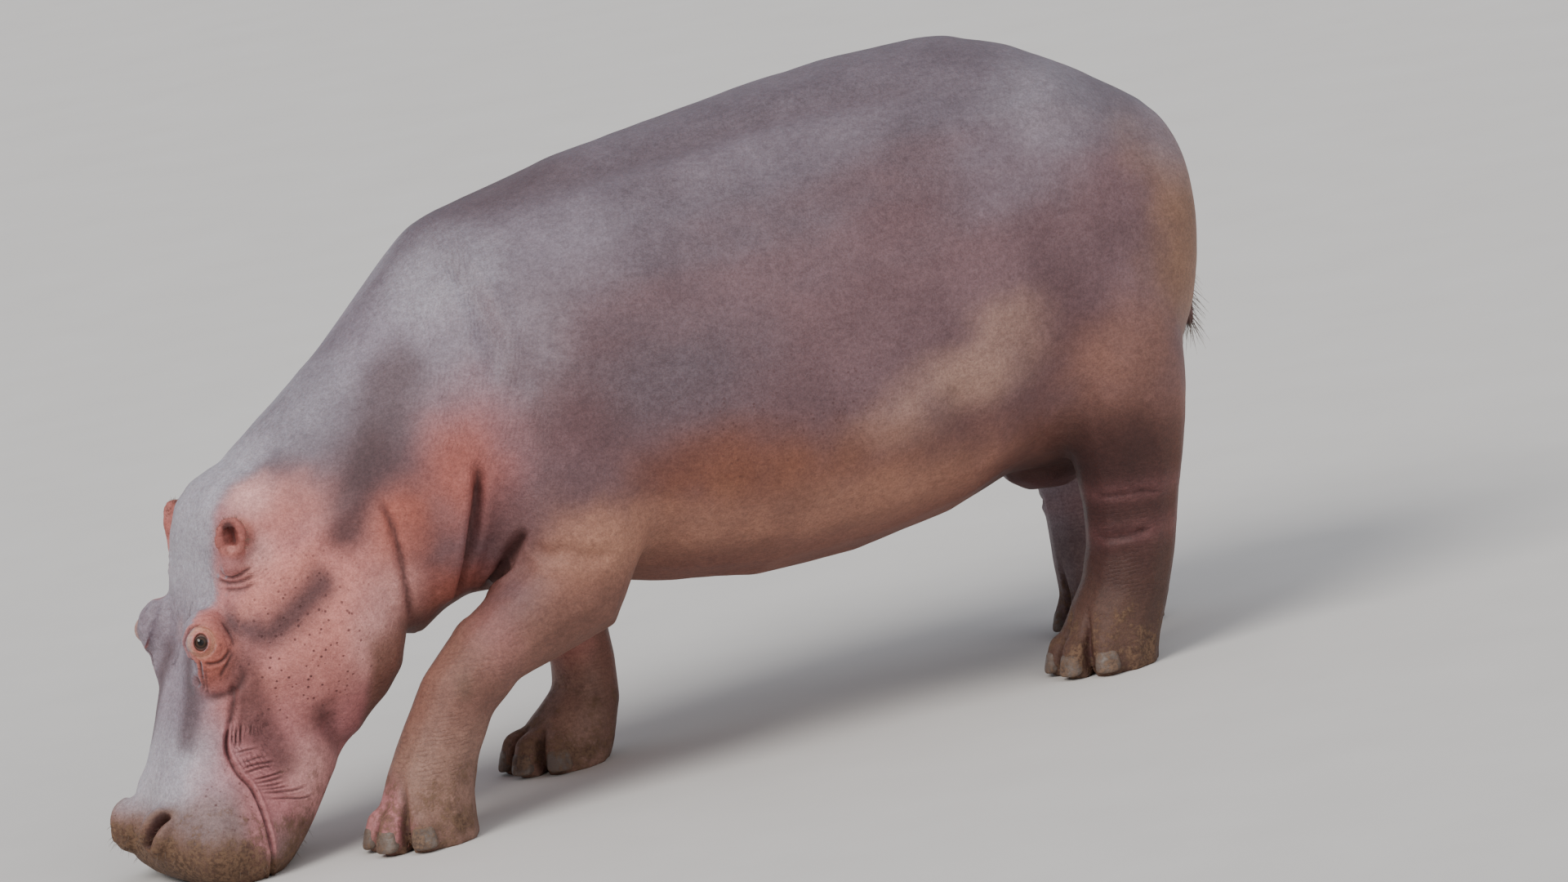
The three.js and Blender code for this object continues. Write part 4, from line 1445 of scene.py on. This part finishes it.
# The eye's colours from its front outwards: the turn from there, as a share of a right angle, and the colour.
EYE_STOPS = [
    (0.0, (0.003, 0.002, 0.003)),  # pupil
    (0.16, (0.004, 0.003, 0.004)),
    (0.2, (0.075, 0.034, 0.016)),  # iris
    (0.28, (0.045, 0.020, 0.011)),
    (0.33, (0.016, 0.009, 0.008)),  # its dark rim
    (0.37, (0.16, 0.09, 0.075)),  # the white, brownish red
    (1.0, (0.3, 0.15, 0.13)),
]


def eye_material():
    material, make, shader = new_material(
        "eye", Specular_IOR_Level=0.2, Coat_Weight=0.4, Coat_Roughness=0.05, Coat_IOR=1.376
    )
    ring = make.value("ring")
    flecks = make.noise(make.place(), 420.0, 5.0, 0.65)
    turn = make.math("DIVIDE", make.plus(ring, make.times(flecks, 3.0)), 90.0)
    coloured = make.node("ShaderNodeValToRGB", None, Fac=turn)
    band = coloured.color_ramp
    while len(band.elements) < len(EYE_STOPS):
        band.elements.new(0.5)
    for element, (at, colour) in zip(band.elements, EYE_STOPS):
        element.position = at
        element.color = (*colour, 1)
    colour = make.mixed(make.times(flecks, 0.6), coloured.outputs[0], (0.01, 0.006, 0.005, 1))
    make.feed(shader.inputs["Base Color"], colour)
    make.feed(shader.inputs["Roughness"], make.steps(ring, 20.0, 40.0, 0.12, 0.3))
    make.feed(shader.inputs["Normal"], bumped(make, flecks, 0.0001))
    return material


def nail_material():
    material, make, shader = new_material("nail")
    place = make.place()
    rings = make.noise(make.turned(place, (0, 0, 0), (6, 6, 120)), 1.0, 4.0, 0.6)
    blotches = make.noise(place, 30.0, 5.0)
    mud = placed(make, MUD, Place=place, Cover=0.75)
    colour = make.mixed(rings, (0.085, 0.062, 0.05, 1), (0.21, 0.16, 0.13, 1))
    colour = make.mixed(make.steps(blotches, 0.4, 0.7, 0.0, 0.6), colour, (0.07, 0.05, 0.042, 1))
    make.feed(shader.inputs["Base Color"], make.mixed(mud["Mask"], colour, mud["Colour"]))
    make.feed(shader.inputs["Roughness"], make.steps(mud["Mask"], 0.0, 1.0, 0.42, 0.85))
    height = make.plus(make.times(rings, 0.0012), mud["Height"])
    make.feed(shader.inputs["Normal"], bumped(make, height))
    return material


def floor_material():
    material, make, shader = new_material("floor")
    shade = make.noise(make.place(), 3.0, 5.0)
    make.feed(shader.inputs["Base Color"], make.mixed(shade, (0.60, 0.58, 0.55, 1), (0.66, 0.64, 0.61, 1)))
    make.feed(shader.inputs["Roughness"], make.steps(shade, 0.0, 1.0, 0.85, 0.95))
    return material


# ---- bristles ----
BRISTLE = {"sides": 4, "joints": 3}
BRISTLE_INPUTS = {"Bend": 0.22, "Unevenness": 0.3, "Seed": 5}
PATCH = 0.003  # a bristle's patch on the unwrap of the skin


def bristle_tree(material):
    """Bent, tapered bristles on points that hold their heading, length and thickness."""
    tree = bpy.data.node_groups.new("bristles", "GeometryNodeTree")
    inputs = [
        ("Geometry", "NodeSocketGeometry", None),
        ("Bend", "NodeSocketFloat", 0.0),
        ("Unevenness", "NodeSocketFloat", 0.0),
        ("Seed", "NodeSocketInt", 0),
    ]
    add_sockets(tree, inputs, [("Geometry", "NodeSocketGeometry")])
    make = Maker(tree)
    given = make.node("NodeGroupInput").outputs

    def named(name, kind="FLOAT"):
        made = make.node("GeometryNodeInputNamedAttribute", {"data_type": kind}, Name=name)
        return made.outputs["Attribute"]

    cone = make.node(
        "GeometryNodeMeshCone",
        None,
        Vertices=BRISTLE["sides"],
        Side_Segments=BRISTLE["joints"],
        Radius_Top=0.15,
        Radius_Bottom=1.0,
        Depth=1.0,
    ).outputs["Mesh"]
    position = make.node("GeometryNodeInputPosition").outputs[0]
    height = make.node("ShaderNodeSeparateXYZ", None, Vector=position).outputs[2]
    number = {"data_type": "FLOAT", "domain": "POINT"}
    marked = make.node("GeometryNodeStoreNamedAttribute", number, Geometry=cone, Name="tip", Value=height)
    placed_on = make.node("GeometryNodeInstanceOnPoints")
    make.feed(placed_on.inputs["Points"], given["Geometry"])
    make.feed(placed_on.inputs["Instance"], marked.outputs[0])
    heading = named("heading", "FLOAT_VECTOR")
    turn = make.node("FunctionNodeAlignRotationToVector", {"axis": "Z"}, Vector=heading).outputs[0]
    make.feed(placed_on.inputs["Rotation"], turn)
    uneven = make.node("FunctionNodeRandomValue", {"data_type": "FLOAT"})
    make.feed(uneven.inputs[2], make.minus(1.0, given["Unevenness"]))
    make.feed(uneven.inputs[3], 1.0)
    make.feed(uneven.inputs["Seed"], given["Seed"])
    long = make.times(named("long"), uneven.outputs[1])
    thick = named("thick")
    scale = make.node("ShaderNodeCombineXYZ", None, X=thick, Y=thick, Z=long).outputs[0]
    make.feed(placed_on.inputs["Scale"], scale)
    real = make.node("GeometryNodeRealizeInstances", None, Geometry=placed_on.outputs[0]).outputs[0]
    # each bristle sags by the square of the way to its tip
    tip = named("tip")
    sag = make.times(make.times(make.times(tip, tip), named("long")), given["Bend"])
    down = make.node("ShaderNodeCombineXYZ", None, X=0.0, Y=0.0, Z=make.times(sag, -1.0)).outputs[0]
    bent = make.node("GeometryNodeSetPosition", None, Geometry=real, Offset=down).outputs[0]
    dressed = make.node("GeometryNodeSetMaterial", None, Geometry=bent, Material=material).outputs[0]
    make.feed(make.node("NodeGroupOutput").inputs[0], dressed)
    return tree


# The head's and the tail's parts of the unwrap: where each starts and how wide it is there, the middle that
# it runs round, and what it covers of the animal, in millimetres on the head and in metres on the tail.
HEAD_MAP = {"left": 0.02, "wide": 0.6, "middle": -150, "back": -150, "long": 1000}
TAIL_MAP = {"left": 0.68, "wide": 0.3, "middle": -1.16, "high": 1.2}
MAP_BOTTOM = 0.05
MAP_HEIGHT = 0.9


def skin_unwrap(points):
    """Each point's place on an unwrap of the skin: round and along the head, and round and up the tail."""
    l, y, k = head_places(points)
    on_head = head_share(points) > 0.5
    round_head = np.arctan2(y, -(k - HEAD_MAP["middle"])) / (2 * math.pi) + 0.5
    round_tail = np.arctan2(points[:, 1], points[:, 0] - TAIL_MAP["middle"]) / (2 * math.pi) + 0.5
    along_head = np.clip((l - HEAD_MAP["back"]) / HEAD_MAP["long"], 0, 1)
    up_tail = np.clip(points[:, 2] / TAIL_MAP["high"], 0, 1)
    head_u = HEAD_MAP["left"] + HEAD_MAP["wide"] * round_head
    tail_u = TAIL_MAP["left"] + TAIL_MAP["wide"] * round_tail
    u = np.where(on_head, head_u, tail_u)
    v = MAP_BOTTOM + MAP_HEIGHT * np.where(on_head, along_head, up_tail)
    return np.stack([u, v], 1)


BRISTLE_SEED = 21
ROOT_DEPTH = 0.002  # a bristle starts this far inside the skin
SPREAD = 0.16  # of the bristles' headings


def bristle_roots(hide):
    """Roots, headings, lengths and thicknesses of all bristles."""
    draw = np.random.default_rng(BRISTLE_SEED)
    co, normal = hide.co, hide.normal
    l, _, k = head_places(co)
    rows = []

    def grow(where, count, heading, long, thick):
        found = np.flatnonzero(where)
        picked = draw.choice(found, min(count, len(found)), replace=False)
        ways = normal[picked] + np.asarray(heading) + draw.normal(0, SPREAD, (len(picked), 3))
        ways /= np.linalg.norm(ways, axis=1)[:, None]
        lengths = draw.uniform(*long, len(picked))
        roots = co[picked] - normal[picked] * ROOT_DEPTH
        rows.append(np.column_stack([roots, ways, lengths, np.full(len(picked), thick)]))

    tail = (co[:, 0] < -1.12) & (co[:, 2] < 0.80) & (co[:, 2] > 0.6) & (np.abs(co[:, 1]) < 0.05)
    grow(tail, 260, heading=(0, 0, -1.1), long=(0.035, 0.062), thick=0.0007)
    off_floor = (head_share(co) > 0.9) & (co[:, 2] > 0.025)
    grow((l > 690) & off_floor & (k > -260), 150, heading=(0.2, 0, -0.3), long=(0.010, 0.024), thick=0.00042)
    grow((l > 640) & off_floor & (k < -280), 60, heading=(0, 0, -0.3), long=(0.010, 0.022), thick=0.00042)
    for side in SIDES:
        away = co - head_point(62, side * 192, -28)
        reach = np.linalg.norm(away, axis=1)
        lean = away / np.maximum(reach, 1e-6)[:, None]
        facing_out = (normal * lean).sum(1) > 0.85
        ear_rim = (reach < 0.075) & (reach > 0.028) & facing_out & (l < 80)
        grow(ear_rim, 110, heading=-DOWN_FACE * 0.6, long=(0.010, 0.019), thick=0.00035)
    return np.concatenate(rows)


def map_bristles(mesh):
    """Lays each bristle on its own small patch of the skin's unwrap, in the OFBake map."""
    numbers = {}
    for name in ("unwrap_u", "unwrap_v", "tip"):
        numbers[name] = np.array([a.value for a in mesh.attributes[name].data])
    corners = np.empty(len(mesh.loops), np.int32)
    mesh.loops.foreach_get("vertex_index", corners)
    across = (corners % BRISTLE["sides"]) * PATCH / BRISTLE["sides"]
    along = numbers["tip"][corners] * PATCH
    places = np.stack([numbers["unwrap_u"][corners] + across, numbers["unwrap_v"][corners] + along], 1)
    while mesh.uv_layers:
        mesh.uv_layers.remove(mesh.uv_layers[0])
    mesh.uv_layers.new(name="OFBake").data.foreach_set("uv", places.astype(np.float32).ravel())


def make_bristles(hide, material):
    rows = bristle_roots(hide)
    mesh = bpy.data.meshes.new("bristles")
    mesh.from_pydata([tuple(p) for p in to_frame(rows[:, :3])], [], [])
    heading = mesh.attributes.new("heading", "FLOAT_VECTOR", "POINT")
    heading.data.foreach_set("vector", (rows[:, 3:6] * TURNED).astype(np.float32).ravel())
    keep_numbers(mesh, "long", rows[:, 6])
    keep_numbers(mesh, "thick", rows[:, 7])
    unwrap = skin_unwrap(rows[:, :3])
    keep_numbers(mesh, "unwrap_u", unwrap[:, 0])
    keep_numbers(mesh, "unwrap_v", unwrap[:, 1])
    piece = new_object("bristles", mesh)
    change = piece.modifiers.new("bristles", "NODES")
    change.node_group = bristle_tree(material)
    for socket in change.node_group.interface.items_tree:
        if socket.name in BRISTLE_INPUTS:
            change[socket.identifier] = BRISTLE_INPUTS[socket.name]
    made = plain_mesh(piece)
    bpy.data.objects.remove(piece)
    map_bristles(made)
    return new_object("bristles", made)


def bristle_material():
    material, make, shader = new_material("bristle")
    tip = make.value("tip")
    shade = make.mixed(make.noise(make.place(), 60.0, 2.0), (0.035, 0.022, 0.018, 1), (0.12, 0.075, 0.055, 1))
    colour = make.mixed(make.times(tip, 0.6), shade, (0.34, 0.25, 0.18, 1))
    make.feed(shader.inputs["Base Color"], colour)
    make.feed(shader.inputs["Roughness"], make.steps(tip, 0.0, 1.0, 0.6, 0.42))
    return material


def dress(piece, material, node):
    """Gives a finished piece its material, hangs it on the root, and hides the solids that it stands for."""
    if not piece.data.materials or piece.data.materials[0] != material:
        piece.data.materials.clear()
        piece.data.materials.append(material)
    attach(piece, "root")
    if node:
        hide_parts(*node)


# ---- all pieces ----
hide = shaped_skin()
skin_mesh = hide.mesh
tint = hide_colours(hide)
colours = skin_mesh.color_attributes.new("tint", "FLOAT_COLOR", "POINT")
colours.data.foreach_set("color", np.column_stack([tint, np.ones(len(tint))]).astype(np.float32).ravel())
keep_numbers(skin_mesh, "mud", hide_mud(hide))
keep_numbers(skin_mesh, "spots", hide_spots(hide))
across, deep = hide_waves(hide)
keep_numbers(skin_mesh, "across", across)
keep_numbers(skin_mesh, "deep", deep)
skin_mesh.shade_smooth()
skin = new_object("skin", skin_mesh)
dress(skin, hide_material(), flesh_nodes)
eye_finish, nail_finish = eye_material(), nail_material()
for side, name in ((1, "eye_left"), (-1, "eye_right")):
    dress(make_eye(side), eye_finish, [name])
bristle_finish = bristle_material()
dress(make_bristles(hide, bristle_finish), bristle_finish, [])
for foot in FEET:
    dress(make_nails(foot), nail_finish, [f"{foot.replace('foot', 'nail')}_{n}" for n in range(1, 5)])

# ---- camera, floor and light ----
CAMERA_BACK = Vector((-0.40007, -0.90230, 0.16063))  # from the animal to the camera
CAMERA_RIGHT = Vector((0.89068, -0.42409, -0.16384))
CAMERA_UP = Vector((0.21596, 0.07752, 0.97332))
CAMERA_FAR = 24
CAMERA_LENS = 252
CAMERA_AIM = Vector((ORIGIN_X, 0, 0.00785)) + CAMERA_RIGHT * 0.0589 + CAMERA_UP * 0.6357


def add_camera():
    camera = new_object("camera", bpy.data.cameras.new("camera"))
    camera.data.lens = CAMERA_LENS
    camera.data.clip_end = 200
    turn = Matrix((CAMERA_RIGHT, CAMERA_UP, CAMERA_BACK)).transposed().to_4x4()
    camera.matrix_world = Matrix.Translation(CAMERA_AIM + CAMERA_BACK * CAMERA_FAR) @ turn
    bpy.context.scene.camera = camera


def light(name, place, energy, colour, softness):
    """A soft sun that shines on the animal from the way of its place. Its softness is in degrees."""
    lamp = new_object(name, bpy.data.lights.new(name, "SUN"))
    lamp.data.energy = energy
    lamp.data.color = colour
    lamp.data.angle = math.radians(softness)
    heading = (-Vector(place)).to_track_quat("-Z", "Y")
    lamp.matrix_world = Matrix.Translation(place) @ heading.to_matrix().to_4x4()


def add_lights():
    light("key light", (-7, -4, 7), 2.7, (1, 0.97, 0.93), 30)
    light("top light", (1, -3, 9), 0.5, (0.93, 0.96, 1), 50)
    light("side light", (3, -8, 1.6), 0.85, (1, 0.96, 0.92), 70)
    world = bpy.data.worlds.new("studio")
    world.use_nodes = True
    sky = world.node_tree.nodes["Background"].inputs
    sky["Color"].default_value = (0.86, 0.9, 1, 1)
    sky["Strength"].default_value = 0.52
    bpy.context.scene.world = world


FLOOR_REACH = 60


def add_floor():
    mesh = bpy.data.meshes.new("floor")
    corners = [(x * FLOOR_REACH, y * FLOOR_REACH, 0) for x, y in ((-1, -1), (1, -1), (1, 1), (-1, 1))]
    mesh.from_pydata(corners, [], [(0, 1, 2, 3)])
    mesh.materials.append(floor_material())
    new_object("floor", mesh)


add_camera()
add_lights()
add_floor()
